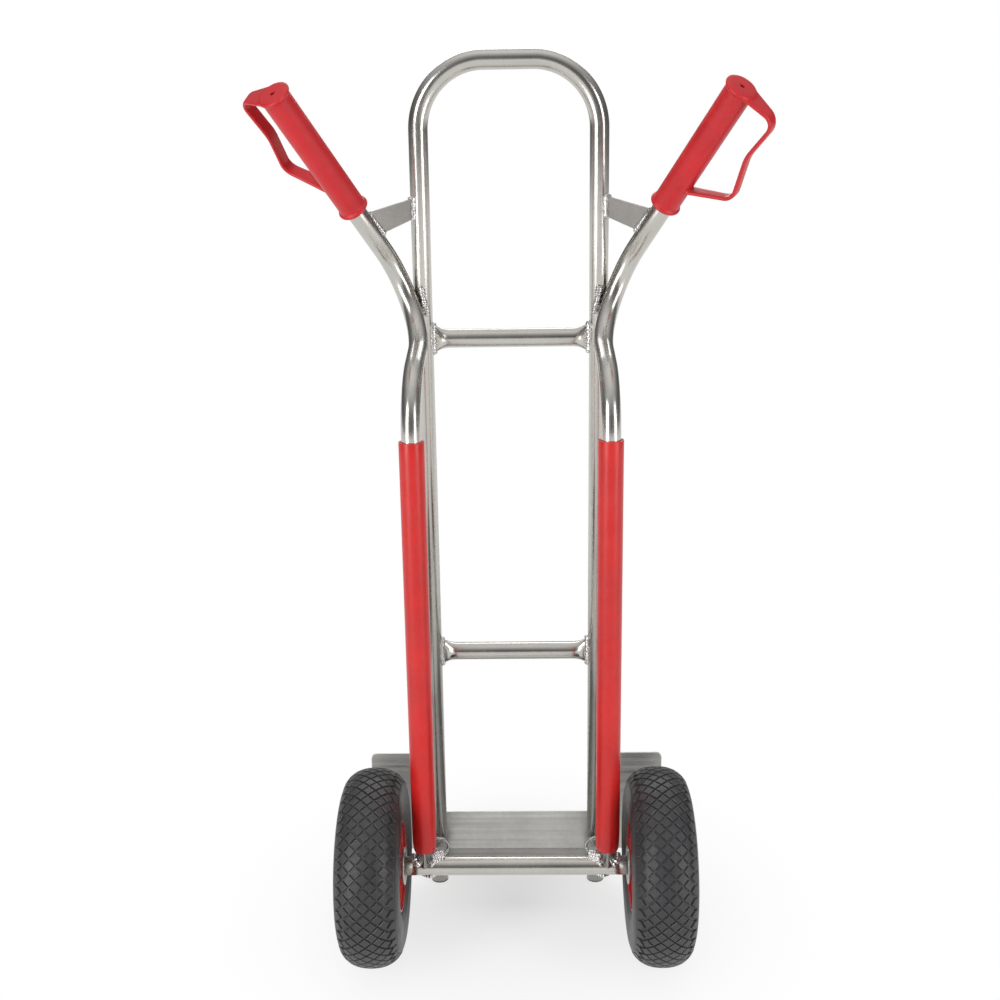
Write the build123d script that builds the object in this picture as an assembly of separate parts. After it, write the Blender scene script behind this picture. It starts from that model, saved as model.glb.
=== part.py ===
from build123d import *
import os
from math import sqrt

# Hand truck of welded aluminium tube with slide rails, guarded grips and two pneumatic wheels.
# Millimetres, +Z up, floor at Z = 0. The wheels and the user are at -Y, the toe plate is at +Y.

# ---------------------------------------------------------------- driving dimensions
wheel_d = 260.0            # tyre outside diameter
tyre_width = 85.0
wheel_track = 382.0        # between the wheels' middles

tube_d = 25.0              # every frame tube
tube_wall = 1.5
weld_gap = 0.2             # between two welded pieces

loop_height = 1184.0       # floor to the top of the loop
loop_spacing = 234.0       # between the uprights' middles
loop_bend_r = 85.0
loop_foot_z = 3.0          # lower end of the uprights
axle_to_loop = 177.0       # the loop's plane in front of the axle

upper_bar_z = 818.0
lower_bar_z = 369.0
bar_end_height = 37.0      # pressed end of a crossbar
bar_end_thickness = 6.0
bar_taper = 19.0

rail_spacing = 245.0       # between the slide rails' middles
rail_bend_z = 780.0        # corner where a rail leans forward to the loop
rail_bend_r = 88.0
knee_spacing = 233.0       # corner where the tube turns back to the grip
knee_z = 850.5
knee_r = 84.0
grip_tip_x = 266.0
grip_tip_behind_axle = 14.0
grip_tip_z = 1124.0

sleeve_above_axle = 25.0   # from the axle's middle to the sleeve's lower end
sleeve_high_z = 715.0
sleeve_wall = 3.4
sleeve_taper = 26.0        # length of the rounded lower end
sleeve_tip_wall = 1.2      # wall left at the lower end
sleeve_fit = 0.1           # radial, sleeve on rail and grip on tube

grip_length = 189.0
grip_wall = 4.65
grip_collar_rise = 2.75    # collars above the grip's surface
grip_collar = 6.0          # length of each collar
grip_collar_round = 2.1    # rounding of the collars' edges
grip_cap = 7.0             # thickness of the closed end
grip_vent_d = 6.0
guard_reach = 56.0         # from the grip's axis to the strap's upper corner
guard_low_reach = 66.0     # the same at its lower corner
guard_waist = 5.0          # how far the strap comes in between the two
guard_top_drop = 6.0       # fall of the strap from the cap to its outer corner
guard_foot_rise = 40.0     # height of its lower corner above where it rejoins the grip
guard_length = 160.0       # from the tip to where the strap rejoins the grip
guard_strap = 16.0
guard_thickness = 5.0
guard_edge_r = 1.5         # rounding of the strap's edges
guard_corner_r = 15.0
guard_waist_r = 45.0
left_guard_roll = -28.0    # turn of each guard about its grip
right_guard_roll = 36.0

brace_width = 26.0
brace_thickness = 4.0
brace_z = 989.0            # middle of its end on the upright
brace_below_tip = 215.0    # along the handle tube

strut_foot_z = 57.0        # middle of the strut on the upright

guard_plate_width = 430.0
guard_plate_top = 201.0
guard_plate_middle = 105.0
guard_plate_thickness = 2.5
guard_plate_corner = 8.5
guard_plate_edge_r = 4.0
guard_plate_notch_cover = 5.0   # how far the notch's sides hide behind the uprights

toe_width = 270.0
toe_depth = 170.0
toe_thickness = 4.0
toe_flange = 43.0
toe_bend_r = 7.0
toe_corner_r = 12.0
plate_gap = 0.3

rod_d = 20.0
rod_fit = 0.1              # radial, rod in the axle tube and washers
bearing_fit = 0.05         # radial, rod in the bearings
hub_length = 77.0
hub_wall = 3.0
bearing_wall = 3.95
bearing_length = 15.0
washer_d = 50.0
washer_thickness = 3.0
side_play = 0.3            # each side of a washer
washer_round = 0.8
rod_overhang = 9.0         # rod beyond the outer washer
rod_chamfer = 1.0
pin_d = 3.2
pin_hole_fit = 0.1
pin_length = 34.0
pin_eye_r = 5.0

rim_seat_r = 51.0
rim_flange = 9.4           # height of the lip above the seat
rim_well = 9.0             # drop from the seat to the web's outer edge
rim_lip_x = 37.5           # from the wheel's middle
rim_seat_x = 30.0
rim_sheet = 2.0
rim_well_x = 9.0           # where the seat turns into the web
tyre_wall = 6.0
tyre_crown_drop = 9.0      # from the crown to the shoulder
tyre_shoulder_x = 33.0
tyre_bead_x = 33.5
tyre_seat_fit = 0.2
tube_skin = 1.5            # inner tube
bolt_circle_r = 33.0
bolt_count = 4
bolt_d = 6.0
bolt_fit = 0.2
bolt_head = 10.0           # across flats
bolt_head_height = 4.0
nut_height = 5.0
bolt_past_nut = 2.0
valve_x = 17.0
valve_d = 7.0
valve_length = 20.0
valve_cap_length = 5.0
valve_cap_wall = 1.2       # step from the stem to the cap
valve_flange_d = 12.0
valve_flange = 1.5

plug_depth = 18.0
plug_lip = 2.0

# ---------------------------------------------------------------- derived sizes and places
tube_r = tube_d / 2
rod_r = rod_d / 2
rail_bore_r = tube_r + sleeve_fit
sleeve_r = rail_bore_r + sleeve_wall
grip_r = rail_bore_r + grip_wall
collar_r = grip_r + grip_collar_rise
bearing_r = rod_r + bearing_fit + bearing_wall
hub_r = bearing_r + weld_gap / 2 + hub_wall
rim_lip_r = rim_seat_r + rim_flange
axle_z = wheel_d / 2
sleeve_low_z = axle_z + sleeve_above_axle
loop_front_from_axle = axle_to_loop + tube_r
toe_front_from_axle = loop_front_from_axle + plate_gap + toe_depth
axle_y = (wheel_d / 2 - toe_front_from_axle) / 2     # the whole depth is centred on Y = 0
loop_y = axle_y + axle_to_loop
loop_front_y = axle_y + loop_front_from_axle
loop_x = loop_spacing / 2
rail_x = rail_spacing / 2
wheel_x = wheel_track / 2

hub_half = hub_length / 2
inner_washer_x = wheel_x - hub_half - side_play - washer_thickness
axle_half = inner_washer_x - side_play
outer_washer_x = wheel_x + hub_half + side_play
pin_x = outer_washer_x + washer_thickness + side_play + pin_d / 2
rod_half = outer_washer_x + washer_thickness + rod_overhang

LEFT, RIGHT = -1, 1
SIDE_NAMES = {LEFT: "left", RIGHT: "right"}


# ---------------------------------------------------------------- helpers
def rod_between(start, end, radius):
    """Round bar from one point to another."""
    axis = Vector(end) - Vector(start)
    return extrude(Plane(origin=start, z_dir=axis) * Circle(radius), amount=axis.length)


def bar_x(radius, low, high, y=0.0, z=0.0):
    """Round bar along X."""
    return rod_between((low, y, z), (high, y, z), radius)


def swept_tube(path, outer_r, inner_r=0.0):
    """Round bar or tube along a path."""
    section = Circle(outer_r)
    if inner_r > 0:
        section -= Circle(inner_r)
    return sweep(Plane(origin=path @ 0, z_dir=path % 0) * section, path=path)


def on_side(shape, side):
    """A shape made for the right-hand side, or its mirror image for the left."""
    return shape if side == RIGHT else mirror(shape, about=Plane.YZ)


def spun(points_and_curves):
    """Solid of revolution about X from a closed outline in the XY plane."""
    return revolve(make_face(points_and_curves), axis=Axis.X)


# ---------------------------------------------------------------- welded frame
def loop_path():
    top = loop_height - tube_r
    return FilletPolyline(
        (-loop_x, loop_y, loop_foot_z), (-loop_x, loop_y, top),
        (loop_x, loop_y, top), (loop_x, loop_y, loop_foot_z), radius=loop_bend_r)


def upright_cutter(side):
    """The room that an upright takes, for the ends welded to it."""
    x = side * loop_x
    return rod_between((x, loop_y, 0), (x, loop_y, loop_height - loop_bend_r), tube_r + weld_gap)


def axle_cutter():
    return bar_x(tube_r + weld_gap, -axle_half, axle_half, axle_y, axle_z)


def make_main_loop():
    return swept_tube(loop_path(), tube_r, tube_r - tube_wall)


def make_loop_end_plugs():
    """Two plastic plugs that close the uprights' lower ends."""
    low_z = loop_foot_z - plug_lip
    plugs = []
    for side in (LEFT, RIGHT):
        x = side * loop_x
        low, top = (x, loop_y, low_z), (x, loop_y, loop_foot_z + plug_depth)
        stem = rod_between(low, top, tube_r - tube_wall - sleeve_fit)
        plugs.append(stem + rod_between(low, (x, loop_y, loop_foot_z), tube_r))
    return plugs


def crossbar_body(z, shrink):
    """Outer (shrink 0) or inner (shrink of one wall) form of a crossbar with pressed ends."""
    pressed = Ellipse(bar_end_height / 2 - shrink, bar_end_thickness / 2 - shrink)
    round_section = Circle(tube_r - shrink)
    flat_x = loop_x - tube_r
    round_x = flat_x - bar_taper

    def at(x):
        return Plane(origin=(x, loop_y, z), x_dir=(0, 0, 1), z_dir=(1, 0, 0))

    end = extrude(at(flat_x) * pressed, amount=tube_r)
    taper = loft([at(round_x) * round_section, at(flat_x) * pressed], ruled=True)
    half = end + taper
    middle = extrude(at(-round_x) * round_section, amount=2 * round_x)
    return middle + half + mirror(half, about=Plane.YZ)


def make_crossbar(z):
    bar = crossbar_body(z, 0.0) - crossbar_body(z, tube_wall)
    return bar - upright_cutter(LEFT) - upright_cutter(RIGHT)


# ---------------------------------------------------------------- slide rails and handles
grip_tip = Vector(grip_tip_x, axle_y - grip_tip_behind_axle, grip_tip_z)


def handle_path(knee_y, low_z, cut_back=0.0):
    """Right-hand rail, S-bend and handle, from low_z to cut_back short of the grip's tip."""
    knee = Vector(knee_spacing / 2, knee_y, knee_z)
    end = grip_tip + (knee - grip_tip).normalized() * cut_back
    return FilletPolyline(
        (rail_x, axle_y, low_z), (rail_x, axle_y, rail_bend_z), knee, end,
        radius=[rail_bend_r, knee_r])


def find_knee_y():
    """Place of the knee's corner at which the bent tube just touches the upright."""
    upright = Line((loop_x, loop_y, knee_z - tube_d), (loop_x, loop_y, grip_tip_z))
    low, high = loop_y, loop_y + 4 * tube_d
    for _ in range(22):
        middle = (low + high) / 2
        if handle_path(middle, sleeve_low_z).distance_to(upright) > tube_d + weld_gap:
            low = middle
        else:
            high = middle
    return low


knee_y = find_knee_y()
knee = Vector(knee_spacing / 2, knee_y, knee_z)
grip_axis = (grip_tip - knee).normalized()


def grip_point(below_tip):
    """Point on the grip's axis, that far below the tip."""
    return grip_tip - grip_axis * below_tip


def make_handle_tube():
    path = handle_path(knee_y, axle_z, cut_back=grip_cap + plate_gap)
    return swept_tube(path, tube_r, tube_r - tube_wall) - axle_cutter()


def make_skid_sleeve():
    """Plastic sleeve on the straight of the rail, with a rounded lower end."""
    bore, outer, low = rail_bore_r, sleeve_r, sleeve_low_z
    nose_top = (outer, low + sleeve_taper)
    tip = (bore + sleeve_tip_wall, low)
    outline = Polyline(tip, (bore, low), (bore, sleeve_high_z), (outer, sleeve_high_z), nose_top)
    nose = TangentArc(nose_top, tip, tangent=(0, -1))
    face = Plane.XZ * make_face(outline + nose)
    return Pos(rail_x, axle_y, 0) * revolve(face, axis=Axis.Z)


def grip_place(side):
    """Place of the grip's lower end: Z up the grip, X out through the guard."""
    roll = left_guard_roll if side == LEFT else right_guard_roll
    out = Vector(1, 0, 0) - grip_axis * grip_axis.X
    base = Plane(origin=grip_point(grip_length), x_dir=out, z_dir=grip_axis)
    return base.location * Rot(0, 0, -roll)


def make_grip(side):
    """Moulded grip with its knuckle guard, made for the right and then mirrored."""
    length, collar = grip_length, grip_collar
    body = Pos(0, 0, length / 2) * Cylinder(grip_r, length)
    ring = fillet(Cylinder(collar_r, collar).edges(), grip_collar_round)
    low_collar, top_collar = Pos(0, 0, collar / 2) * ring, Pos(0, 0, length - collar / 2) * ring
    strap_top = length - collar / 2
    low_joint = length - guard_length
    high_corner, low_corner = strap_top - guard_top_drop, low_joint + guard_foot_rise
    strap = FilletPolyline(
        (0, 0, strap_top), (guard_reach, 0, high_corner),
        (guard_reach - guard_waist, 0, (high_corner + low_corner) / 2),
        (guard_low_reach, 0, low_corner), (0, 0, low_joint),
        radius=[guard_corner_r, guard_waist_r, guard_corner_r])
    section = Plane(origin=strap @ 0, x_dir=(0, 1, 0), z_dir=strap % 0) * RectangleRounded(
        guard_strap, guard_thickness, guard_edge_r)
    guard = sweep(section, path=strap)
    bore = rod_between((0, 0, 0), (0, 0, length - grip_cap), rail_bore_r)
    vent = Pos(0, 0, length) * Cylinder(grip_vent_d / 2, 3 * grip_cap)
    grip = body + low_collar + top_collar + guard - bore - vent
    return on_side(grip_place(side) * grip, side)


def make_handle_brace():
    """Flat bar on edge between the upright and the handle tube."""
    start = Vector(loop_x, loop_y, brace_z)
    end = grip_point(brace_below_tip)
    run = Vector(end.X - start.X, end.Y - start.Y, 0)
    drop = end.Z - start.Z
    side_view = Plane(origin=start, x_dir=run, z_dir=Vector(run.Y, -run.X, 0))
    up = side_view.y_dir.Z
    half = brace_width / 2
    outline = Polyline((0, half), (run.length, drop * up + half), (run.length, drop * up - half),
                       (0, -half), close=True)
    bar = extrude(side_view * make_face(outline), amount=brace_thickness / 2, both=True)
    handle = rod_between(grip_point(grip_length), grip_point(brace_below_tip + 2 * brace_width),
                         tube_r + weld_gap)
    return bar - upright_cutter(RIGHT) - handle


def make_axle_strut():
    """Tube from the axle tube down and forward to the upright."""
    start, end = (loop_x, axle_y, axle_z), (loop_x, loop_y, strut_foot_z)
    tube = rod_between(start, end, tube_r) - rod_between(start, end, tube_r - tube_wall)
    rail = rod_between((rail_x, axle_y, axle_z), (rail_x, axle_y, sleeve_low_z), tube_r + weld_gap)
    return tube - axle_cutter() - upright_cutter(RIGHT) - rail


# ---------------------------------------------------------------- plates
def make_wheel_guard_plate():
    """Sheet in front of the uprights, with a wing before each wheel."""
    half, top, low = guard_plate_width / 2, guard_plate_top, toe_flange + plate_gap
    notch = loop_x - tube_r + guard_plate_notch_cover
    wide = Pos(0, (top + low) / 2) * Rectangle(guard_plate_width, top - low)
    corners = wide.vertices().group_by(Axis.Y)
    wide = fillet(corners[-1], guard_plate_corner)
    wide = fillet(wide.vertices().group_by(Axis.Y)[0], guard_plate_edge_r)
    depth = top - guard_plate_middle
    cut = Pos(0, top) * Rectangle(2 * notch, 2 * depth)
    face = Plane(origin=(0, loop_front_y + weld_gap, 0), x_dir=(1, 0, 0), z_dir=(0, -1, 0)) * (wide - cut)
    return extrude(face, amount=-guard_plate_thickness)


def make_toe_plate():
    """Bent angle: a flange welded to the uprights and a blade on the floor."""
    back = loop_front_y + plate_gap
    t, front = toe_thickness, back + toe_depth
    outer = FilletPolyline((back, toe_flange), (back, 0), (front, 0), radius=toe_bend_r)
    inner = FilletPolyline((front, t), (back + t, t), (back + t, toe_flange), radius=toe_bend_r - t)
    ends = Line((front, 0), (front, t)) + Line((back + t, toe_flange), (back, toe_flange))
    side = Plane.YZ * make_face(outer + inner + ends)
    plate = extrude(side, amount=toe_width / 2, both=True)
    front_corners = [e for e in plate.edges().filter_by(Axis.Z)
                     if e.center().Y > front - 1 and abs(e.center().X) > toe_width / 2 - 1]
    return fillet(front_corners, toe_corner_r)


# ---------------------------------------------------------------- axle
def make_axle_tube():
    return (bar_x(tube_r, -axle_half, axle_half, axle_y, axle_z)
            - bar_x(rod_r + rod_fit, -axle_half, axle_half, axle_y, axle_z))


def pin_hole(radius, side):
    x = side * pin_x
    return rod_between((x, axle_y, axle_z - rod_d), (x, axle_y, axle_z + rod_d), radius)


def make_axle_rod():
    rod = bar_x(rod_r, -rod_half, rod_half, axle_y, axle_z)
    rod = chamfer(rod.edges(), rod_chamfer)
    return rod - pin_hole(pin_d / 2 + pin_hole_fit, LEFT) - pin_hole(pin_d / 2 + pin_hole_fit, RIGHT)


def make_washer(low_x):
    """Flat washer on the rod, from low_x outwards."""
    washer = (bar_x(washer_d / 2, low_x, low_x + washer_thickness, axle_y, axle_z)
              - bar_x(rod_r + rod_fit, low_x, low_x + washer_thickness, axle_y, axle_z))
    return fillet(washer.edges().filter_by(GeomType.CIRCLE).sort_by(SortBy.RADIUS)[-2:], washer_round)


def make_cotter_pin():
    """Pin through the rod with an eye on top."""
    eye_low = axle_z + rod_r + plate_gap
    eye_z = eye_low + pin_d / 2 + pin_eye_r
    stem_top = eye_low + pin_d / 2
    stem = rod_between((pin_x, axle_y, stem_top - pin_length), (pin_x, axle_y, stem_top), pin_d / 2)
    eye = Pos(pin_x, axle_y, eye_z) * Rot(0, 90, 0) * Torus(pin_eye_r, pin_d / 2)
    return stem + eye


# ---------------------------------------------------------------- wheel, about X at the origin
def tyre_outline(offset):
    """Closed tyre section, moved inwards by an offset, open towards the rim."""
    crown = wheel_d / 2 - offset
    side = tyre_width / 2 - offset
    slant = offset * sqrt(0.5)        # a corner point moves in along the diagonal
    shoulder_x, shoulder_r = tyre_shoulder_x - slant, wheel_d / 2 - tyre_crown_drop - slant
    bead_x = tyre_bead_x - slant
    bead_r = rim_lip_r + tyre_seat_fit + max(0.0, offset - tyre_wall)     # clear of the casing's foot
    widest_r = (shoulder_r + bead_r) / 2
    crown_arc = ThreePointArc((-shoulder_x, shoulder_r), (0, crown), (shoulder_x, shoulder_r))
    right = ThreePointArc((shoulder_x, shoulder_r), (side, widest_r), (bead_x, bead_r))
    left = ThreePointArc((-shoulder_x, shoulder_r), (-side, widest_r), (-bead_x, bead_r))
    return crown_arc, right, left, bead_x, bead_r


def tyre_form(offset, foot_r):
    """Body enclosed by the tyre section down to a foot radius."""
    crown_arc, right, left, bead_x, bead_r = tyre_outline(offset)
    foot_x = rim_seat_x - offset - tyre_seat_fit
    heel_x, heel_r = foot_x + rim_sheet, bead_r - rim_sheet
    feet = Polyline((bead_x, bead_r), (heel_x, bead_r), (foot_x, heel_r), (foot_x, foot_r),
                    (-foot_x, foot_r), (-foot_x, heel_r), (-heel_x, bead_r), (-bead_x, bead_r))
    return spun(crown_arc + right + left + feet)


def make_tyre():
    """Casing with an open foot between its two beads."""
    seat = rim_seat_r + tyre_seat_fit
    return tyre_form(0.0, seat) - tyre_form(tyre_wall, seat)


def make_inner_tube():
    gap = tyre_seat_fit
    foot = sqrt((rim_seat_r + gap + valve_flange) ** 2 + (valve_flange_d / 2) ** 2) + gap
    return tyre_form(tyre_wall + gap, foot) - tyre_form(tyre_wall + gap + tube_skin, foot + tube_skin)


def make_rim_half(direction):
    """Pressed dish from the web beside the middle plane out to the rolled lip."""
    s, lip, seat = rim_sheet, rim_lip_r, rim_seat_r
    web_low = direction * weld_gap / 2
    web_high = direction * (weld_gap / 2 + s)
    hub, web_r = hub_r + weld_gap, seat - rim_well
    well_x, seat_x, lip_x = [direction * v for v in (rim_well_x, rim_seat_x, rim_lip_x)]
    d = direction * s
    sheet = Polyline(
        (web_low, hub), (web_low, web_r), (well_x - d, seat), (seat_x, seat), (seat_x, lip - s),
        (seat_x + d, lip), (lip_x, lip), (lip_x, lip - s), (seat_x + d, lip - s),
        (seat_x + d, seat - s), (well_x, seat - s), (web_high, web_r - s), (web_high, hub), close=True)
    dish = spun(sheet)
    for index in range(bolt_count):
        turn = Rot(360 / bolt_count * (index + 0.5), 0, 0)
        dish -= turn * bar_x(bolt_d / 2 + bolt_fit, -rim_well_x, rim_well_x, 0, bolt_circle_r)
    if direction > 0:
        hole_r = valve_d / 2 + bolt_fit
        dish -= rod_between((valve_x, 0, seat - 2 * s), (valve_x, 0, seat + s), hole_r)
    return dish


def make_hub_tube():
    return bar_x(hub_r, -hub_half, hub_half) - bar_x(hub_r - hub_wall, -hub_half, hub_half)


def make_bearings():
    """Two bearing bushes, one in each end of the hub."""
    ring = (bar_x(bearing_r, hub_half - bearing_length, hub_half)
            - bar_x(rod_r + bearing_fit, 0, hub_half))
    return [ring, mirror(ring, about=Plane.YZ)]


def rim_fasteners(make_one):
    """Copies of one fastener round the bolt circle."""
    return [Rot(360 / bolt_count * (i + 0.5), 0, 0) * Pos(0, 0, bolt_circle_r) * make_one()
            for i in range(bolt_count)]


def hexagon(across_flats, x, height):
    return extrude(Plane(origin=(x, 0, 0), z_dir=(1, 0, 0))
                   * RegularPolygon(across_flats / 2, 6, major_radius=False), amount=height)


web_face = rim_sheet + weld_gap / 2 + weld_gap


def make_rim_bolt():
    """Hexagon bolt with its head on the outer side."""
    head = hexagon(bolt_head, web_face, bolt_head_height)
    return head + bar_x(bolt_d / 2, -web_face - nut_height - bolt_past_nut, web_face + bolt_head_height / 2)


def make_rim_nut():
    nut = hexagon(bolt_head, -web_face - nut_height, nut_height)
    return nut - bar_x(bolt_d / 2 + bolt_fit / 2, -web_face - nut_height, -web_face)


def make_valve():
    """Valve stem through the rim's seat into the outer well."""
    top = rim_seat_r + tyre_seat_fit + valve_flange
    flange = rod_between((valve_x, 0, top - valve_flange), (valve_x, 0, top), valve_flange_d / 2)
    stem = rod_between((valve_x, 0, top - valve_length), (valve_x, 0, top), valve_d / 2)
    cap_low = top - valve_length - valve_cap_length
    cap_r = valve_d / 2 - valve_cap_wall
    cap = rod_between((valve_x, 0, cap_low), (valve_x, 0, top - valve_length), cap_r)
    return flange + stem + cap


# ---------------------------------------------------------------- build and write
def collect_nodes():
    """Every node's name with its solid or list of solids, in the frame of the whole object."""
    nodes = {
        "main_loop_tube": make_main_loop(),
        "loop_end_plugs": make_loop_end_plugs(),
        "upper_crossbar": make_crossbar(upper_bar_z),
        "lower_crossbar": make_crossbar(lower_bar_z),
        "wheel_guard_plate": make_wheel_guard_plate(),
        "toe_plate": make_toe_plate(),
        "axle_tube": make_axle_tube(),
        "axle_rod": make_axle_rod(),
    }
    right_hand = {
        "handle_tube": make_handle_tube(),
        "skid_sleeve": make_skid_sleeve(),
        "handle_brace": make_handle_brace(),
        "axle_strut": make_axle_strut(),
        "inner_washer": make_washer(inner_washer_x),
        "outer_washer": make_washer(outer_washer_x),
        "cotter_pin": make_cotter_pin(),
    }
    wheel = {
        "tyre": make_tyre(),
        "inner_tube": make_inner_tube(),
        "rim_outer_half": make_rim_half(1),
        "rim_inner_half": make_rim_half(-1),
        "hub_tube": make_hub_tube(),
        "wheel_bearings": make_bearings(),
        "rim_bolts": rim_fasteners(make_rim_bolt),
        "rim_nuts": rim_fasteners(make_rim_nut),
        "valve": make_valve(),
    }
    for name, shape in wheel.items():
        solids = shape if isinstance(shape, list) else [shape]
        right_hand[name] = [Pos(wheel_x, axle_y, axle_z) * solid for solid in solids]
    for side, word in SIDE_NAMES.items():
        nodes[f"{word}_grip"] = make_grip(side)
        for name, shape in right_hand.items():
            solids = shape if isinstance(shape, list) else [shape]
            nodes[f"{word}_{name}"] = [on_side(solid, side) for solid in solids]
    return nodes


def write_parts():
    """One STEP file for each node."""
    os.makedirs("parts", exist_ok=True)
    for name, shape in collect_nodes().items():
        shapes = shape if isinstance(shape, list) else [shape]
        solids = [solid for one in shapes for solid in one.solids()]
        export_step(solids[0] if len(solids) == 1 else Compound(children=solids), f"parts/{name}.step")


write_parts()
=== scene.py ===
"""Looks of the hand truck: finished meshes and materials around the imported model.

Every piece is built in metres in the model's own frame: +Z up, floor at Z = 0, wheels and user at -Y.
"""

import logging
import math
from dataclasses import dataclass, field
from enum import Enum
from typing import Optional, Sequence

import bmesh
import bpy
from mathutils import Matrix, Vector


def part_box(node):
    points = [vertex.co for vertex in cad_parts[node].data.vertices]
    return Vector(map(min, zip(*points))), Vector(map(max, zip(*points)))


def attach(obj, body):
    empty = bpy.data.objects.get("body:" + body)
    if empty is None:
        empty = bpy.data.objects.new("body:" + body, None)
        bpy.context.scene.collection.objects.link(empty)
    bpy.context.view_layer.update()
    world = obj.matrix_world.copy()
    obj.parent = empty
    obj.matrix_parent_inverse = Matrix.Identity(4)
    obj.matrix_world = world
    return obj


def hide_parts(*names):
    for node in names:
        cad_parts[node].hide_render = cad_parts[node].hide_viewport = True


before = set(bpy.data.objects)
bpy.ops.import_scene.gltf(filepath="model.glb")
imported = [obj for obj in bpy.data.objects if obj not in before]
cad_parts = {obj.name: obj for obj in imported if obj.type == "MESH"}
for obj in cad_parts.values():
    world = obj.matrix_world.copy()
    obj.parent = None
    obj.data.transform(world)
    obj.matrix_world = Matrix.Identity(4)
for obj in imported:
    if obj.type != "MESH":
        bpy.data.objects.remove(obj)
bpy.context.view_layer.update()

log = logging.getLogger("hand_truck")
MM = 0.001


class Side(Enum):
    """The two sides of the truck, as the sign of X."""

    LEFT = -1
    RIGHT = 1

    @property
    def word(self) -> str:
        """Name of the side as it stands in node names."""
        return self.name.lower()


class Body(Enum):
    """The model's rigid bodies."""

    FRAME = "frame"
    LEFT_WHEEL = "left_wheel"
    RIGHT_WHEEL = "right_wheel"


# ------------------------------------------------------------------ places taken from the frame
def centre(node: str) -> Vector:
    """Middle of a node's box.

    Args:
        node: name of the CAD node.

    Returns:
        The middle of its box at rest.
    """
    low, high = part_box(node)
    return (low + high) / 2


def extent(node: str) -> Vector:
    """Size of a node's box.

    Args:
        node: name of the CAD node.

    Returns:
        Its length along X, Y and Z.
    """
    low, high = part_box(node)
    return high - low


@dataclass(frozen=True)
class Layout:
    """Sizes and places that more than one piece needs, measured on the frame."""

    tube_r: float = extent("axle_tube").z / 2
    tube_wall: float = 1.5 * MM
    axle: Vector = field(default_factory=lambda: centre("axle_tube"))
    axle_half: float = extent("axle_tube").x / 2
    loop_half: float = extent("main_loop_tube").x / 2
    loop_y: float = centre("main_loop_tube").y
    loop_low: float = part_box("main_loop_tube")[0].z
    loop_top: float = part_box("main_loop_tube")[1].z
    rail_x: float = centre("right_skid_sleeve").x
    wheel_x: float = centre("right_tyre").x
    wheel_r: float = extent("right_tyre").z / 2
    wheel_half: float = extent("right_tyre").x / 2
    strut_z: float = 57 * MM

    @property
    def upright_x(self) -> float:
        """Middle of an upright of the loop."""
        return self.loop_half - self.tube_r

    def upright(self, side: Side, z: float) -> Vector:
        """Point on an upright's axis.

        Args:
            side: which upright.
            z: height of the point.

        Returns:
            The point.
        """
        return Vector((side.value * self.upright_x, self.loop_y, z))


PLACE = Layout()


# ------------------------------------------------------------------ mesh helpers
def new_object(name: str, mesh: bpy.types.Mesh) -> bpy.types.Object:
    """Put a mesh into the scene as an object at the origin."""
    piece = bpy.data.objects.new(name, mesh)
    bpy.context.scene.collection.objects.link(piece)
    return piece


def mesh_from(name: str, points: Sequence, faces: Sequence, smooth: bool = True) -> bpy.types.Object:
    """Object from points and faces, with its normals turned outwards.

    Args:
        name: the object's name.
        points: the vertices.
        faces: tuples of vertex numbers.
        smooth: whether faces are shaded smooth.

    Returns:
        The new object.
    """
    mesh = bpy.data.meshes.new(name)
    mesh.from_pydata([tuple(p) for p in points], [], faces)
    work = bmesh.new()
    work.from_mesh(mesh)
    bmesh.ops.remove_doubles(work, verts=work.verts, dist=1e-6)
    bmesh.ops.recalc_face_normals(work, faces=work.faces)
    work.to_mesh(mesh)
    work.free()
    mesh.polygons.foreach_set("use_smooth", [smooth] * len(mesh.polygons))
    return new_object(name, mesh)


def rounded_path(points: Sequence[Vector], radii: Sequence[float], arc_steps: int = 18) -> list[Vector]:
    """Points along straight runs joined by tangent arcs.

    Args:
        points: the corners, first and last included.
        radii: one bend radius for each inner corner.
        arc_steps: pieces in each arc.

    Returns:
        The points along the path.
    """
    path = [points[0].copy()]
    for before, corner, after, radius in zip(points, points[1:], points[2:], radii):
        into, out = (before - corner).normalized(), (after - corner).normalized()
        half = into.angle(out) / 2
        reach = radius / math.tan(half)
        middle = corner + (into + out).normalized() * (radius / math.sin(half))
        start = corner + into * reach - middle
        turn = math.pi - 2 * half
        axis = start.cross(corner + out * reach - middle).normalized()
        path += [middle + Matrix.Rotation(turn * i / arc_steps, 3, axis) @ start
                 for i in range(arc_steps + 1)]
    path.append(points[-1].copy())
    return path


def lathe(name: str, outline: Sequence[tuple], origin: Vector, axis: Vector,
          segments: int = 128) -> bpy.types.Object:
    """Solid of revolution with smooth faces.

    Args:
        name: the object's name.
        outline: (along, radius) pairs in metres, in order round the closed section.
        origin: the point on the axis where along is 0.
        axis: direction of along.
        segments: faces round the axis.

    Returns:
        The new object.
    """
    axis = axis.normalized()
    side = axis.orthogonal().normalized()
    points, faces = [], []
    count = len(outline)
    for k in range(segments):
        out = Matrix.Rotation(2 * math.pi * k / segments, 3, axis) @ side
        points += [origin + axis * along + out * radius for along, radius in outline]
    for k in range(segments):
        here, there = k * count, (k + 1) % segments * count
        for i in range(count):
            j = (i + 1) % count
            faces.append((here + i, here + j, there + j, there + i))
    return mesh_from(name, points, faces)


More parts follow.
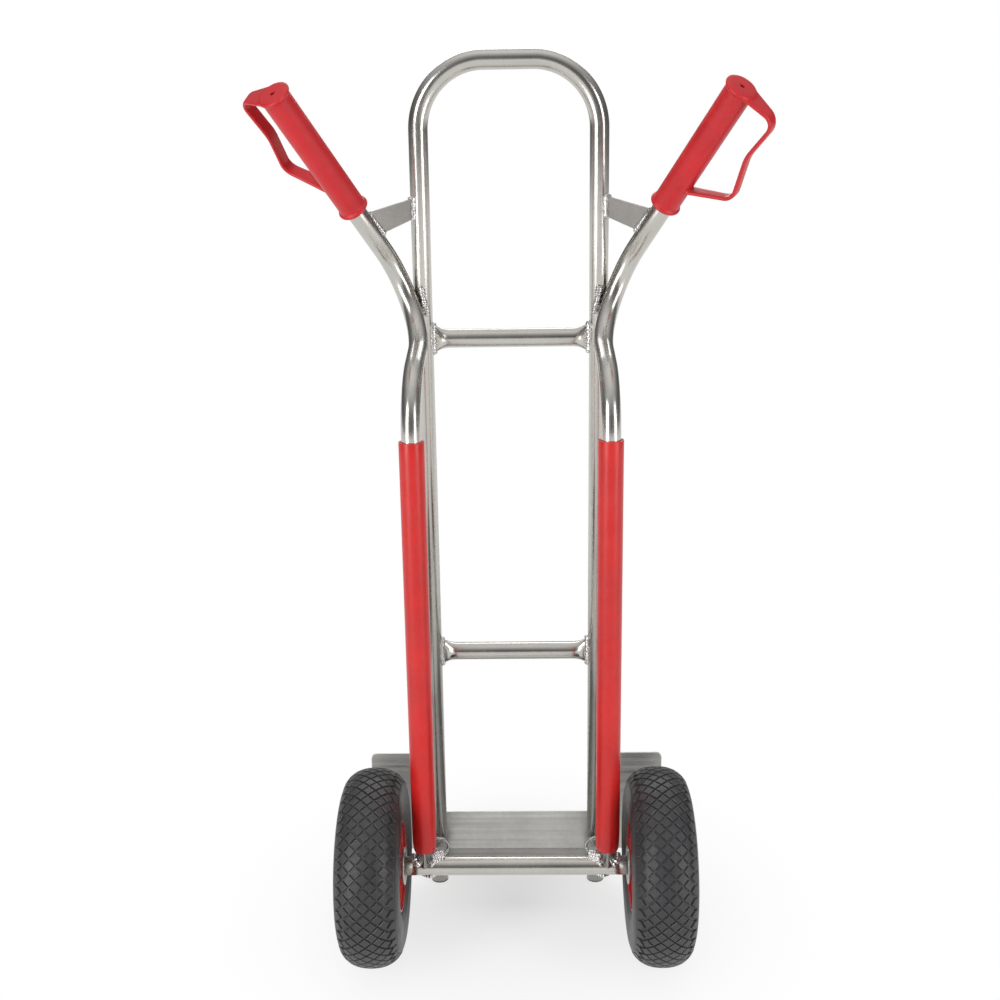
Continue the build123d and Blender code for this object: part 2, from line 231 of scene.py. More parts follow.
def reach_to_tube(start: Vector, direction: Vector, point: Vector, axis: Vector, radius: float) -> float:
    """Distance along a line to the near side of a long round tube.

    Args:
        start: where the line starts.
        direction: the line's direction.
        point: a point on the tube's axis.
        axis: the tube's direction, of length 1.
        radius: the tube's radius.

    Returns:
        The distance, or the one to the tube's nearest line where the line passes it by.
    """
    gap = start - point
    flat, step = gap - axis * gap.dot(axis), direction - axis * direction.dot(axis)
    a, b, c = step.dot(step), 2 * flat.dot(step), flat.dot(flat) - radius * radius
    return (-b - math.sqrt(max(b * b - 4 * a * c, 0.0))) / (2 * a)


def set_sharp(piece: bpy.types.Object, degrees: float) -> None:
    """Shade smooth except where faces meet at more than an angle."""
    piece.data.set_sharp_from_angle(angle=math.radians(degrees))


def bevelled(piece: bpy.types.Object, width: float, segments: int = 3) -> bpy.types.Object:
    """Add a small bevel with even normals to a hard-edged piece."""
    bevel = piece.modifiers.new("Edges", "BEVEL")
    bevel.width, bevel.segments, bevel.limit_method = width, segments, "ANGLE"
    bevel.angle_limit = math.radians(40)
    bevel.harden_normals = True
    return piece


def plain_mesh(piece: bpy.types.Object, name: str) -> bpy.types.Object:
    """Turn an object with its modifiers into a plain mesh object.

    Args:
        piece: the object, which is removed.
        name: the new object's name.

    Returns:
        The plain object.
    """
    bpy.context.view_layer.update()
    graph = bpy.context.evaluated_depsgraph_get()
    mesh = bpy.data.meshes.new_from_object(piece.evaluated_get(graph), depsgraph=graph)
    bpy.data.objects.remove(piece)
    return new_object(name, mesh)


# ------------------------------------------------------------------ geometry node trees
class NodeTree:
    """A geometry or shader node tree with short calls to fill it."""

    def __init__(self, tree: bpy.types.NodeTree) -> None:
        """Wrap a tree."""
        self.tree = tree

    def add(self, kind: str, inputs: Optional[dict] = None, **settings: object) -> bpy.types.Node:
        """Add a node.

        Args:
            kind: the node's type.
            inputs: values or output sockets for its inputs, by name or number.
            settings: the node's own properties.

        Returns:
            The node.
        """
        node = self.tree.nodes.new(kind)
        for name, value in settings.items():
            setattr(node, name, value)
        for key, value in (inputs or {}).items():
            if isinstance(value, bpy.types.NodeSocket):
                self.tree.links.new(value, node.inputs[key])
            else:
                node.inputs[key].default_value = value
        return node

    def math(self, operation: str, *values: object) -> bpy.types.NodeSocket:
        """Add a math node and return its result."""
        kind = "ShaderNodeMath"
        return self.add(kind, dict(enumerate(values)), operation=operation).outputs[0]

    def vector(self, operation: str, *values: object, output: str = "Vector") -> bpy.types.NodeSocket:
        """Add a vector math node and return one result."""
        node = self.add("ShaderNodeVectorMath", dict(enumerate(values)), operation=operation)
        return node.outputs[output]

    def combine(self, x: object = 0.0, y: object = 0.0, z: object = 0.0) -> bpy.types.NodeSocket:
        """Vector from three values."""
        return self.add("ShaderNodeCombineXYZ", {0: x, 1: y, 2: z}).outputs[0]


def geometry_tree(name: str, inputs: dict[str, str]) -> tuple[NodeTree, bpy.types.Node]:
    """New geometry node tree with named inputs and a geometry output.

    Args:
        name: the tree's name.
        inputs: socket types by input name.

    Returns:
        The tree and its input node.
    """
    tree = bpy.data.node_groups.new(name, "GeometryNodeTree")
    tree.interface.new_socket("Geometry", in_out="INPUT", socket_type="NodeSocketGeometry")
    for label, kind in inputs.items():
        tree.interface.new_socket(label, in_out="INPUT", socket_type=kind)
    tree.interface.new_socket("Geometry", in_out="OUTPUT", socket_type="NodeSocketGeometry")
    nodes = NodeTree(tree)
    return nodes, nodes.add("NodeGroupInput")


def finish_tree(nodes: NodeTree, geometry: bpy.types.NodeSocket, material: bpy.types.NodeSocket) -> None:
    """End a geometry tree in Realize Instances and Set Material."""
    real = nodes.add("GeometryNodeRealizeInstances", {"Geometry": geometry})
    painted = nodes.add("GeometryNodeSetMaterial", {"Geometry": real.outputs[0], "Material": material})
    nodes.add("NodeGroupOutput", {0: painted.outputs[0]})


def run_tree(piece: bpy.types.Object, tree: bpy.types.NodeTree, name: str, values: dict) -> bpy.types.Object:
    """Run a geometry tree on an object and keep the result as a plain mesh.

    Args:
        piece: the object that carries the tree, which is removed.
        tree: the geometry node tree.
        name: the result's name.
        values: the tree's inputs, by name.

    Returns:
        The plain mesh object.
    """
    modifier = piece.modifiers.new("Shape", "NODES")
    modifier.node_group = tree
    for item in tree.interface.items_tree:
        if item.item_type == "SOCKET" and item.in_out == "INPUT" and item.name in values:
            modifier[item.identifier] = values[item.name]
    return plain_mesh(piece, name)


def curve_object(name: str, points: Sequence[Vector], closed: bool = False) -> bpy.types.Object:
    """Poly curve through points, as an object."""
    data = bpy.data.curves.new(name, "CURVE")
    data.dimensions = "3D"
    spline = data.splines.new("POLY")
    spline.points.add(len(points) - 1)
    for target, point in zip(spline.points, points):
        target.co = (*point, 1.0)
    spline.use_cyclic_u = closed
    piece = bpy.data.objects.new(name, data)
    bpy.context.scene.collection.objects.link(piece)
    return piece


def tube_tree() -> bpy.types.NodeTree:
    """Tree that runs a round skin along a curve and stores its drawn grain.

    Returns:
        The tree, with inputs Radius, Sides and Material.
    """
    nodes, given = geometry_tree("tube_along_path", {
        "Radius": "NodeSocketFloat", "Sides": "NodeSocketInt", "Material": "NodeSocketMaterial"})
    along = nodes.add("GeometryNodeSplineParameter").outputs["Length"]
    path = nodes.add("GeometryNodeStoreNamedAttribute", {
        "Geometry": given.outputs["Geometry"], "Name": "along", "Value": along},
        data_type="FLOAT", domain="POINT")
    ring = nodes.add("GeometryNodeCurvePrimitiveCircle", {
        "Resolution": given.outputs["Sides"], "Radius": given.outputs["Radius"]})
    around = nodes.add("GeometryNodeSplineParameter").outputs["Factor"]
    profile = nodes.add("GeometryNodeStoreNamedAttribute", {
        "Geometry": ring.outputs["Curve"], "Name": "around", "Value": around},
        data_type="FLOAT", domain="POINT")
    skin = nodes.add("GeometryNodeCurveToMesh", {
        "Curve": path.outputs[0], "Profile Curve": profile.outputs[0], "Fill Caps": False})
    turn = nodes.math("MULTIPLY", nodes.add("GeometryNodeInputNamedAttribute", {"Name": "around"},
                                            data_type="FLOAT").outputs["Attribute"], 2 * math.pi)
    length = nodes.add("GeometryNodeInputNamedAttribute", {"Name": "along"},
                       data_type="FLOAT").outputs["Attribute"]
    grain = nodes.combine(nodes.math("COSINE", turn), nodes.math("SINE", turn), length)
    stored = nodes.add("GeometryNodeStoreNamedAttribute", {
        "Geometry": skin.outputs[0], "Name": "grain", "Value": grain},
        data_type="FLOAT_VECTOR", domain="POINT")
    smooth = nodes.add("GeometryNodeSetShadeSmooth", {"Geometry": stored.outputs[0]})
    finish_tree(nodes, smooth.outputs[0], given.outputs["Material"])
    return nodes.tree


def bead_tree() -> bpy.types.NodeTree:
    """Tree that lays overlapping weld ripples along a curve.

    Returns:
        The tree, with inputs Width, Height, Pitch, Seed and Material.
    """
    nodes, given = geometry_tree("weld_bead", {
        "Width": "NodeSocketFloat", "Height": "NodeSocketFloat", "Pitch": "NodeSocketFloat",
        "Seed": "NodeSocketInt", "Material": "NodeSocketMaterial"})
    points = nodes.add("GeometryNodeCurveToPoints", {
        "Curve": given.outputs["Geometry"], "Length": given.outputs["Pitch"]}, mode="LENGTH")
    drop = nodes.add("GeometryNodeMeshIcoSphere", {"Radius": 0.5, "Subdivisions": 2})
    soft = nodes.add("GeometryNodeSetShadeSmooth", {"Geometry": drop.outputs[0]})
    wobble = nodes.add("FunctionNodeRandomValue", {
        2: 0.82, 3: 1.16, "Seed": given.outputs["Seed"]}, data_type="FLOAT").outputs[1]
    tilt = nodes.add("FunctionNodeRandomValue", {
        0: (-0.25, -0.25, -0.25), 1: (0.25, 0.25, 0.25), "Seed": given.outputs["Seed"]},
        data_type="FLOAT_VECTOR").outputs[0]
    width = nodes.math("MULTIPLY", given.outputs["Width"], wobble)
    height = nodes.math("MULTIPLY", given.outputs["Height"], wobble)
    thick = nodes.math("MULTIPLY", given.outputs["Pitch"], 3.4)
    laid = nodes.add("GeometryNodeInstanceOnPoints", {
        "Points": points.outputs["Points"], "Instance": soft.outputs[0],
        "Rotation": points.outputs["Rotation"], "Scale": nodes.combine(width, height, thick)})
    shaken = nodes.add("GeometryNodeRotateInstances", {
        "Instances": laid.outputs[0], "Rotation": tilt})
    finish_tree(nodes, shaken.outputs[0], given.outputs["Material"])
    return nodes.tree


def tread_tree() -> bpy.types.NodeTree:
    """Tree that lays rows of tread blocks flat and wraps them round a tyre's section.

    Its geometry is the section as a curve in X and Z, with Z as the radius. A block lies flat with X
    across the tread, Y round the wheel and Z outwards from the section.

    Returns:
        The tree, with inputs Block, Around, Rows, Row Step, Stagger, Start, Radius, Hub and Material.
    """
    nodes, given = geometry_tree("tread_round_section", {
        "Block": "NodeSocketObject", "Around": "NodeSocketInt", "Rows": "NodeSocketInt",
        "Row Step": "NodeSocketFloat", "Stagger": "NodeSocketFloat", "Start": "NodeSocketFloat",
        "Radius": "NodeSocketFloat", "Hub": "NodeSocketVector", "Material": "NodeSocketMaterial"})
    index = nodes.add("GeometryNodeInputIndex").outputs[0]
    around, rows = given.outputs["Around"], given.outputs["Rows"]
    row = nodes.math("FLOOR", nodes.math("DIVIDE", nodes.math("ADD", index, 0.5), around))
    step = nodes.math("SUBTRACT", index, nodes.math("MULTIPLY", row, around))
    middle = nodes.math("MULTIPLY", nodes.math("SUBTRACT", rows, 1.0), 0.5)
    across = nodes.math("MULTIPLY", nodes.math("SUBTRACT", row, middle), given.outputs["Row Step"])
    shift = nodes.math("MULTIPLY", nodes.math("MODULO", row, 2.0), given.outputs["Stagger"])
    turns = nodes.math("ADD", nodes.math("ADD", step, shift), given.outputs["Start"])
    girth = nodes.math("MULTIPLY", given.outputs["Radius"], 2 * math.pi)
    round_wheel = nodes.math("MULTIPLY", nodes.math("DIVIDE", turns, around), girth)
    seeds = nodes.add("GeometryNodePoints", {
        "Count": nodes.math("MULTIPLY", around, rows), "Position": nodes.combine(across, round_wheel)})
    block = nodes.add("GeometryNodeObjectInfo", {"Object": given.outputs["Block"]})
    half_turn = nodes.math("MULTIPLY", nodes.math("LESS_THAN", across, 0.0), math.pi)
    laid = nodes.add("GeometryNodeInstanceOnPoints", {
        "Points": seeds.outputs[0], "Instance": block.outputs["Geometry"],
        "Rotation": nodes.combine(0.0, 0.0, half_turn)})
    flat = nodes.add("GeometryNodeRealizeInstances", {"Geometry": laid.outputs[0]})
    place = nodes.add("ShaderNodeSeparateXYZ", {0: nodes.add("GeometryNodeInputPosition").outputs[0]})
    length = nodes.add("GeometryNodeCurveLength", {"Curve": given.outputs["Geometry"]}).outputs[0]
    reach = nodes.math("ADD", nodes.math("MULTIPLY", length, 0.5), place.outputs[0])
    sample = nodes.add("GeometryNodeSampleCurve", {
        "Curves": given.outputs["Geometry"], "Length": reach}, mode="LENGTH")
    skin = nodes.add("ShaderNodeSeparateXYZ", {0: sample.outputs["Position"]})
    along = nodes.add("ShaderNodeSeparateXYZ", {0: sample.outputs["Tangent"]})
    x = nodes.math("SUBTRACT", skin.outputs[0], nodes.math("MULTIPLY", along.outputs[2], place.outputs[2]))
    radius = nodes.math("ADD", skin.outputs[2], nodes.math("MULTIPLY", along.outputs[0], place.outputs[2]))
    angle = nodes.math("DIVIDE", place.outputs[1], given.outputs["Radius"])
    wrapped = nodes.combine(x, nodes.math("MULTIPLY", radius, nodes.math("SINE", angle)),
                            nodes.math("MULTIPLY", radius, nodes.math("COSINE", angle)))
    on_wheel = nodes.vector("ADD", wrapped, given.outputs["Hub"])
    bent = nodes.add("GeometryNodeSetPosition", {"Geometry": flat.outputs[0], "Position": on_wheel})
    finish_tree(nodes, bent.outputs[0], given.outputs["Material"])
    return nodes.tree


# ------------------------------------------------------------------ shared shader groups
def shader_group(name: str, inputs: dict[str, tuple], outputs: dict[str, str]) -> tuple:
    """New shader node group.

    Args:
        name: the group's name.
        inputs: (socket type, default) by input name.
        outputs: socket types by output name.

    Returns:
        The tree, its input node and its output node.
    """
    tree = bpy.data.node_groups.new(name, "ShaderNodeTree")
    for label, (kind, default) in inputs.items():
        socket = tree.interface.new_socket(label, in_out="INPUT", socket_type=kind)
        if default is not None:
            socket.default_value = default
    for label, kind in outputs.items():
        tree.interface.new_socket(label, in_out="OUTPUT", socket_type=kind)
    nodes = NodeTree(tree)
    return nodes, nodes.add("NodeGroupInput"), nodes.add("NodeGroupOutput")


def mottle_group() -> bpy.types.NodeTree:
    """Soft uneven tone from two sizes of noise, as a value about 0.5."""
    nodes, given, out = shader_group("mottle", {
        "Vector": ("NodeSocketVector", None), "Scale": ("NodeSocketFloat", 10.0),
        "Detail": ("NodeSocketFloat", 3.0)}, {"Value": "NodeSocketFloat"})
    coarse = nodes.add("ShaderNodeTexNoise", {
        "Vector": given.outputs["Vector"], "Scale": given.outputs["Scale"],
        "Detail": given.outputs["Detail"]})
    fine_scale = nodes.math("MULTIPLY", given.outputs["Scale"], 7.3)
    fine = nodes.add("ShaderNodeTexNoise", {"Vector": given.outputs["Vector"], "Scale": fine_scale})
    both = nodes.math("ADD", nodes.math("MULTIPLY", coarse.outputs[0], 0.7),
                      nodes.math("MULTIPLY", fine.outputs[0], 0.3))
    nodes.tree.links.new(both, out.inputs["Value"])
    return nodes.tree


def grain_group() -> bpy.types.NodeTree:
    """Long fine lines along one direction, as left by drawing, rolling or brushing."""
    nodes, given, out = shader_group("grain_lines", {
        "Vector": ("NodeSocketVector", None), "Stretch": ("NodeSocketVector", (60.0, 60.0, 2.0))},
        {"Lines": "NodeSocketFloat", "Patches": "NodeSocketFloat"})
    long_way = nodes.vector("MULTIPLY", given.outputs["Vector"], given.outputs["Stretch"])
    lines = nodes.add("ShaderNodeTexNoise", {"Vector": long_way, "Scale": 1.0, "Detail": 6.0})
    slow = nodes.vector("SCALE", long_way)
    nodes.tree.nodes[-1].inputs["Scale"].default_value = 0.13
    patches = nodes.add("ShaderNodeTexNoise", {"Vector": slow, "Scale": 1.0, "Detail": 2.0})
    nodes.tree.links.new(lines.outputs[0], out.inputs["Lines"])
    nodes.tree.links.new(patches.outputs[0], out.inputs["Patches"])
    return nodes.tree


def wear_group() -> bpy.types.NodeTree:
    """Mask of the edges that rub, broken up by noise."""
    nodes, given, out = shader_group("edge_wear", {
        "Vector": ("NodeSocketVector", None), "Width": ("NodeSocketFloat", 0.002),
        "Amount": ("NodeSocketFloat", 0.5)}, {"Mask": "NodeSocketFloat"})
    soft = nodes.add("ShaderNodeBevel", {"Radius": given.outputs["Width"]}, samples=4)
    true = nodes.add("ShaderNodeNewGeometry").outputs["Normal"]
    bent = nodes.vector("DOT_PRODUCT", soft.outputs[0], true, output="Value")
    edge = nodes.add("ShaderNodeMapRange", {0: bent, 1: 0.995, 2: 0.9, 3: 0.0, 4: 1.0}).outputs[0]
    speck = nodes.add("ShaderNodeTexNoise", {"Vector": given.outputs["Vector"], "Scale": 160.0})
    broken = nodes.math("MULTIPLY", edge, nodes.math("MULTIPLY", speck.outputs[0], 1.6))
    nodes.tree.links.new(nodes.math("MULTIPLY", broken, given.outputs["Amount"]), out.inputs["Mask"])
    return nodes.tree


def dust_group() -> bpy.types.NodeTree:
    """Thin dust that lies thicker on faces that look up."""
    nodes, given, out = shader_group("dust", {
        "Vector": ("NodeSocketVector", None), "Amount": ("NodeSocketFloat", 0.2)},
        {"Mask": "NodeSocketFloat"})
    up = nodes.add("ShaderNodeSeparateXYZ", {0: nodes.add("ShaderNodeNewGeometry").outputs["Normal"]})
    lie = nodes.add("ShaderNodeMapRange", {0: up.outputs[2], 1: -0.2, 2: 1.0, 3: 0.25, 4: 1.0}).outputs[0]
    cloud = nodes.add("ShaderNodeTexNoise", {
        "Vector": given.outputs["Vector"], "Scale": 26.0, "Detail": 6.0, "Roughness": 0.65})
    patch = nodes.add("ShaderNodeMapRange", {0: cloud.outputs[0], 1: 0.38, 2: 0.72}).outputs[0]
    mask = nodes.math("MULTIPLY", nodes.math("MULTIPLY", lie, patch), given.outputs["Amount"])
    nodes.tree.links.new(mask, out.inputs["Mask"])
    return nodes.tree


GROUPS = {"mottle": mottle_group(), "grain": grain_group(), "wear": wear_group(), "dust": dust_group()}


class MaterialNodes(NodeTree):
    """The nodes of one material around its Principled shader."""

    def __init__(self, name: str) -> None:
        """Start a material.

        Args:
            name: the material's name.
        """
        self.material = bpy.data.materials.new(name)
        self.material.use_nodes = True
        super().__init__(self.material.node_tree)
        self.shader = self.tree.nodes["Principled BSDF"]
        self.place = self.add("ShaderNodeTexCoord").outputs["Object"]

    def group(self, name: str, inputs: dict, output: object = 0) -> bpy.types.NodeSocket:
        """Place a shared group and return one output."""
        node = self.add("ShaderNodeGroup", node_tree=GROUPS[name])
        for key, value in inputs.items():
            if isinstance(value, bpy.types.NodeSocket):
                self.tree.links.new(value, node.inputs[key])
            else:
                node.inputs[key].default_value = value
        return node.outputs[output]

    def mix(self, factor: object, first: object, second: object) -> bpy.types.NodeSocket:
        """Mix two colours."""
        node = self.add("ShaderNodeMix", data_type="RGBA")
        for socket, value in ((node.inputs[0], factor), (node.inputs[6], first), (node.inputs[7], second)):
            if isinstance(value, bpy.types.NodeSocket):
                self.tree.links.new(value, socket)
            else:
                socket.default_value = value
        return node.outputs[2]

    def spread(self, value: bpy.types.NodeSocket, low: float, high: float) -> bpy.types.NodeSocket:
        """Bring a noise value from its middle range to low..high."""
        return self.add("ShaderNodeMapRange", {0: value, 1: 0.3, 2: 0.7, 3: low, 4: high}).outputs[0]

    def bump(self, height: bpy.types.NodeSocket, depth: float, strength: float = 1.0) -> None:
        """Feed a height into the shader's normal."""
        node = self.add("ShaderNodeBump", {"Strength": strength, "Distance": depth, "Height": height})
        self.set("Normal", node.outputs[0])

    def set(self, name: str, value: object) -> None:
        """Set or link one of the shader's sockets."""
        if isinstance(value, bpy.types.NodeSocket):
            self.tree.links.new(value, self.shader.inputs[name])
        else:
            self.shader.inputs[name].default_value = value


Colour = tuple[float, float, float]


def rgba(colour: Colour, factor: float = 1.0) -> tuple[float, float, float, float]:
    """Colour with alpha, made lighter or darker."""
    return (*(min(1.0, c * factor) for c in colour), 1.0)


# ------------------------------------------------------------------ finishes
@dataclass(frozen=True)
class DrawnAluminium:
    """Polished tube with fine lines along its length."""

    name: str = "drawn_aluminium"
    colour: Colour = (0.58, 0.565, 0.525)
    low_rough: float = 0.17
    high_rough: float = 0.3
    line_depth: float = 0.00002
    attribute: Optional[str] = "grain"
    stretch: tuple = (9.0, 9.0, 3.0)

    def make(self) -> bpy.types.Material:
        """Build the material."""
        nodes = MaterialNodes(self.name)
        where = nodes.place
        if self.attribute:
            where = nodes.add("ShaderNodeAttribute", attribute_name=self.attribute).outputs["Vector"]
        lines = nodes.group("grain", {"Vector": where, "Stretch": self.stretch}, "Lines")
        patches = nodes.group("mottle", {"Vector": nodes.place, "Scale": 14.0})
        tone = nodes.mix(nodes.spread(patches, 0.0, 1.0), rgba(self.colour, 0.9), rgba(self.colour, 1.06))
        nodes.set("Base Color", nodes.mix(nodes.spread(lines, 0.0, 0.35), tone, rgba(self.colour, 0.74)))
        nodes.set("Metallic", 1.0)
        rough = nodes.math("ADD", nodes.spread(lines, self.low_rough, self.high_rough),
                           nodes.spread(patches, -0.03, 0.05))
        nodes.set("Roughness", rough)
        nodes.bump(lines, self.line_depth)
        return nodes.material


@dataclass(frozen=True)
class SheetAluminium:
    """Rolled sheet with a satin grain across it."""

    name: str = "sheet_aluminium"
    colour: Colour = (0.62, 0.615, 0.585)
    bright: Colour = (0.85, 0.84, 0.82)
    rough: float = 0.46
    stretch: tuple = (4.0, 260.0, 260.0)
    line_depth: float = 0.00004

    def make(self) -> bpy.types.Material:
        """Build the material."""
        nodes = MaterialNodes(self.name)
        lines = nodes.group("grain", {"Vector": nodes.place, "Stretch": self.stretch}, "Lines")
        patches = nodes.group("mottle", {"Vector": nodes.place, "Scale": 18.0})
        tone = nodes.mix(nodes.spread(patches, 0.0, 1.0), rgba(self.colour, 0.86), rgba(self.colour, 1.1))
        grain = nodes.mix(nodes.spread(lines, 0.0, 0.3), tone, rgba(self.colour, 0.8))
        wear = nodes.group("wear", {"Vector": nodes.place, "Width": 0.0012, "Amount": 0.8})
        nodes.set("Base Color", nodes.mix(wear, grain, rgba(self.bright)))
        nodes.set("Metallic", 1.0)
        nodes.set("Roughness", nodes.spread(lines, self.rough - 0.07, self.rough + 0.1))
        nodes.bump(lines, self.line_depth)
        return nodes.material


@dataclass(frozen=True)
class WeldMetal:
    """Bright fused metal of the weld beads."""

    name: str = "weld_metal"
    colour: Colour = (0.82, 0.81, 0.8)
    ripple_depth: float = 0.0004

    def make(self) -> bpy.types.Material:
        """Build the material."""
        nodes = MaterialNodes(self.name)
        patches = nodes.group("mottle", {"Vector": nodes.place, "Scale": 220.0})
        heat = nodes.group("mottle", {"Vector": nodes.place, "Scale": 60.0})
        tone = nodes.mix(nodes.spread(heat, 0.0, 1.0), rgba(self.colour, 0.62), rgba(self.colour))
        nodes.set("Base Color", tone)
        nodes.set("Metallic", 1.0)
        nodes.set("Roughness", nodes.spread(patches, 0.12, 0.3))
        nodes.bump(patches, self.ripple_depth)
        return nodes.material


@dataclass(frozen=True)
class RedPlastic:
    """Smooth moulded or extruded plastic."""

    name: str
    colour: Colour
    rough: float = 0.36
    pebble: float = 0.00003
    pebble_scale: float = 1400.0
    worn: float = 0.5
    pale: Colour = (0.86, 0.24, 0.22)
    dust: float = 0.05
    dusty: Colour = (0.75, 0.55, 0.52)

    def make(self) -> bpy.types.Material:
        """Build the material."""
        nodes = MaterialNodes(self.name)
        patches = nodes.group("mottle", {"Vector": nodes.place, "Scale": 22.0})
        tone = nodes.mix(nodes.spread(patches, 0.0, 1.0), rgba(self.colour, 0.88), rgba(self.colour, 1.1))
        wear = nodes.group("wear", {"Vector": nodes.place, "Width": 0.0015, "Amount": self.worn})
        rubbed = nodes.mix(wear, tone, rgba(self.pale))
        dust = nodes.group("dust", {"Vector": nodes.place, "Amount": self.dust})
        nodes.set("Base Color", nodes.mix(dust, rubbed, rgba(self.dusty)))
        fine = nodes.add("ShaderNodeTexNoise", {"Vector": nodes.place, "Scale": self.pebble_scale,
                                                "Detail": 2.0}).outputs[0]
        nodes.set("Roughness", nodes.spread(patches, self.rough - 0.05, self.rough + 0.08))
        nodes.set("Specular IOR Level", 0.5)
        nodes.bump(fine, self.pebble)
        return nodes.material


@dataclass(frozen=True)
class TyreRubber:
    """Grey-black moulded rubber, dusty in the grooves and rubbed on the blocks."""

    name: str = "tyre_rubber"
    colour: Colour = (0.024, 0.024, 0.026)
    rubbed: Colour = (0.16, 0.16, 0.165)
    dust: float = 0.12
    dusty: Colour = (0.2, 0.2, 0.2)
    skin_scale: float = 900.0
    skin_depth: float = 0.0003

    def make(self) -> bpy.types.Material:
        """Build the material."""
        nodes = MaterialNodes(self.name)
        patches = nodes.group("mottle", {"Vector": nodes.place, "Scale": 30.0})
        tone = nodes.mix(nodes.spread(patches, 0.0, 1.0), rgba(self.colour, 0.75), rgba(self.colour, 1.4))
        wear = nodes.group("wear", {"Vector": nodes.place, "Width": 0.0012, "Amount": 0.35})
        rubbed = nodes.mix(wear, tone, rgba(self.rubbed))
        dust = nodes.group("dust", {"Vector": nodes.place, "Amount": self.dust})
        nodes.set("Base Color", nodes.mix(dust, rubbed, rgba(self.dusty)))
        nodes.set("Roughness", nodes.spread(patches, 0.36, 0.5))
        nodes.set("Specular IOR Level", 0.6)
        fine = nodes.add("ShaderNodeTexNoise", {"Vector": nodes.place, "Scale": self.skin_scale,
                                                "Detail": 3.0}).outputs[0]
        nodes.bump(fine, self.skin_depth)
        return nodes.material


@dataclass(frozen=True)
class RimPaint:
    """Gloss red coat on the wheel rims."""

    name: str = "rim_paint"
    colour: Colour = (0.62, 0.03, 0.025)
    chipped: Colour = (0.85, 0.35, 0.33)
    peel_scale: float = 380.0
    peel_depth: float = 0.00008

    def make(self) -> bpy.types.Material:
        """Build the material."""
        nodes = MaterialNodes(self.name)
        patches = nodes.group("mottle", {"Vector": nodes.place, "Scale": 40.0})
        tone = nodes.mix(nodes.spread(patches, 0.0, 1.0), rgba(self.colour, 0.85), rgba(self.colour, 1.1))
        # Pale pink on the rounded edges: partly chipped paint, partly a painted highlight along the rolled
        # lip.
        wear = nodes.group("wear", {"Vector": nodes.place, "Width": 0.0015, "Amount": 0.7})
        nodes.set("Base Color", nodes.mix(wear, tone, rgba(self.chipped)))
        nodes.set("Roughness", nodes.spread(patches, 0.22, 0.36))
        nodes.set("Coat Weight", 0.35)
        nodes.set("Coat Roughness", 0.12)
        peel = nodes.group("mottle", {"Vector": nodes.place, "Scale": self.peel_scale})
        nodes.bump(peel, self.peel_depth)
        return nodes.material


@dataclass(frozen=True)
class ZincSteel:
    """Bright zinc plate or bare bright steel."""

    name: str
    colour: Colour = (0.6, 0.6, 0.58)
    rough: float = 0.3
    spangle: float = 130.0

    def make(self) -> bpy.types.Material:
        """Build the material."""
        nodes = MaterialNodes(self.name)
        cells = nodes.add("ShaderNodeTexVoronoi", {"Vector": nodes.place, "Scale": self.spangle})
        patches = nodes.group("mottle", {"Vector": nodes.place, "Scale": 60.0})
        tone = nodes.mix(nodes.spread(patches, 0.0, 1.0), rgba(self.colour, 0.78), rgba(self.colour, 1.12))
        nodes.set("Base Color", nodes.mix(0.12, tone, cells.outputs["Color"]))
        nodes.set("Metallic", 1.0)
        nodes.set("Roughness", nodes.spread(patches, self.rough - 0.08, self.rough + 0.12))
        nodes.bump(patches, 0.00003)
        return nodes.material


@dataclass(frozen=True)
class DarkMoulding:
    """Plain moulded plastic or soft rubber of small pieces."""

    name: str
    colour: Colour = (0.03, 0.03, 0.03)
    rough: float = 0.55

    def make(self) -> bpy.types.Material:
        """Build the material."""
        nodes = MaterialNodes(self.name)
        patches = nodes.group("mottle", {"Vector": nodes.place, "Scale": 90.0})
        nodes.set("Base Color", nodes.mix(nodes.spread(patches, 0.0, 1.0), rgba(self.colour, 0.7),
                                          rgba(self.colour, 1.6)))
        nodes.set("Roughness", nodes.spread(patches, self.rough - 0.08, self.rough + 0.08))
        nodes.bump(patches, 0.0001)
        return nodes.material


class Finishes:
    """Every material of the truck, made once."""

    def __init__(self) -> None:
        """Build the materials."""
        self.tube = DrawnAluminium().make()
        self.sheet = SheetAluminium().make()
        # Darker, rougher sheet for the braces and the toe plate; on the toe plate its dark tone is painted
        # shade for the strip under the guard plate.
        self.dull = SheetAluminium("dull_sheet_aluminium", (0.42, 0.41, 0.39), rough=0.5).make()
        self.weld = WeldMetal().make()
        self.sleeve = RedPlastic("sleeve_plastic", (0.62, 0.013, 0.011), rough=0.34).make()
        self.grip = RedPlastic("grip_plastic", (0.6, 0.012, 0.018), rough=0.4, pebble=0.00006,
                               worn=0.2).make()
        self.tyre = TyreRubber().make()
        self.rim = RimPaint().make()
        self.zinc = ZincSteel("zinc_steel").make()
        self.rod = ZincSteel("rod_steel", (0.56, 0.56, 0.57), rough=0.22, spangle=400.0).make()
        self.plug = DarkMoulding("plug_plastic", (0.16, 0.15, 0.135)).make()
        self.bearing = DarkMoulding("bearing_plastic", (0.2, 0.2, 0.2)).make()
        self.rubber = DarkMoulding("soft_rubber", (0.025, 0.025, 0.025), rough=0.7).make()


def hand_over(piece: bpy.types.Object, body: Body, slot: str, *nodes: str) -> None:
    """Let a finished piece ride on a body and stand for CAD nodes.

    Args:
        piece: the finished object.
        body: the body that it moves with.
        slot: the record's material slot; not used.
        nodes: the CAD nodes that it replaces.
    """
    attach(piece, body.value)
    if nodes:
        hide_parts(*nodes)
    log.info("%s: %d faces on %s", piece.name, len(piece.data.polygons), body.value)


def paint_node(node: str, material: bpy.types.Material) -> None:
    """Give a CAD node that stays in view a finish."""
    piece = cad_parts[node]
    piece.data.materials.clear()
    piece.data.materials.append(material)


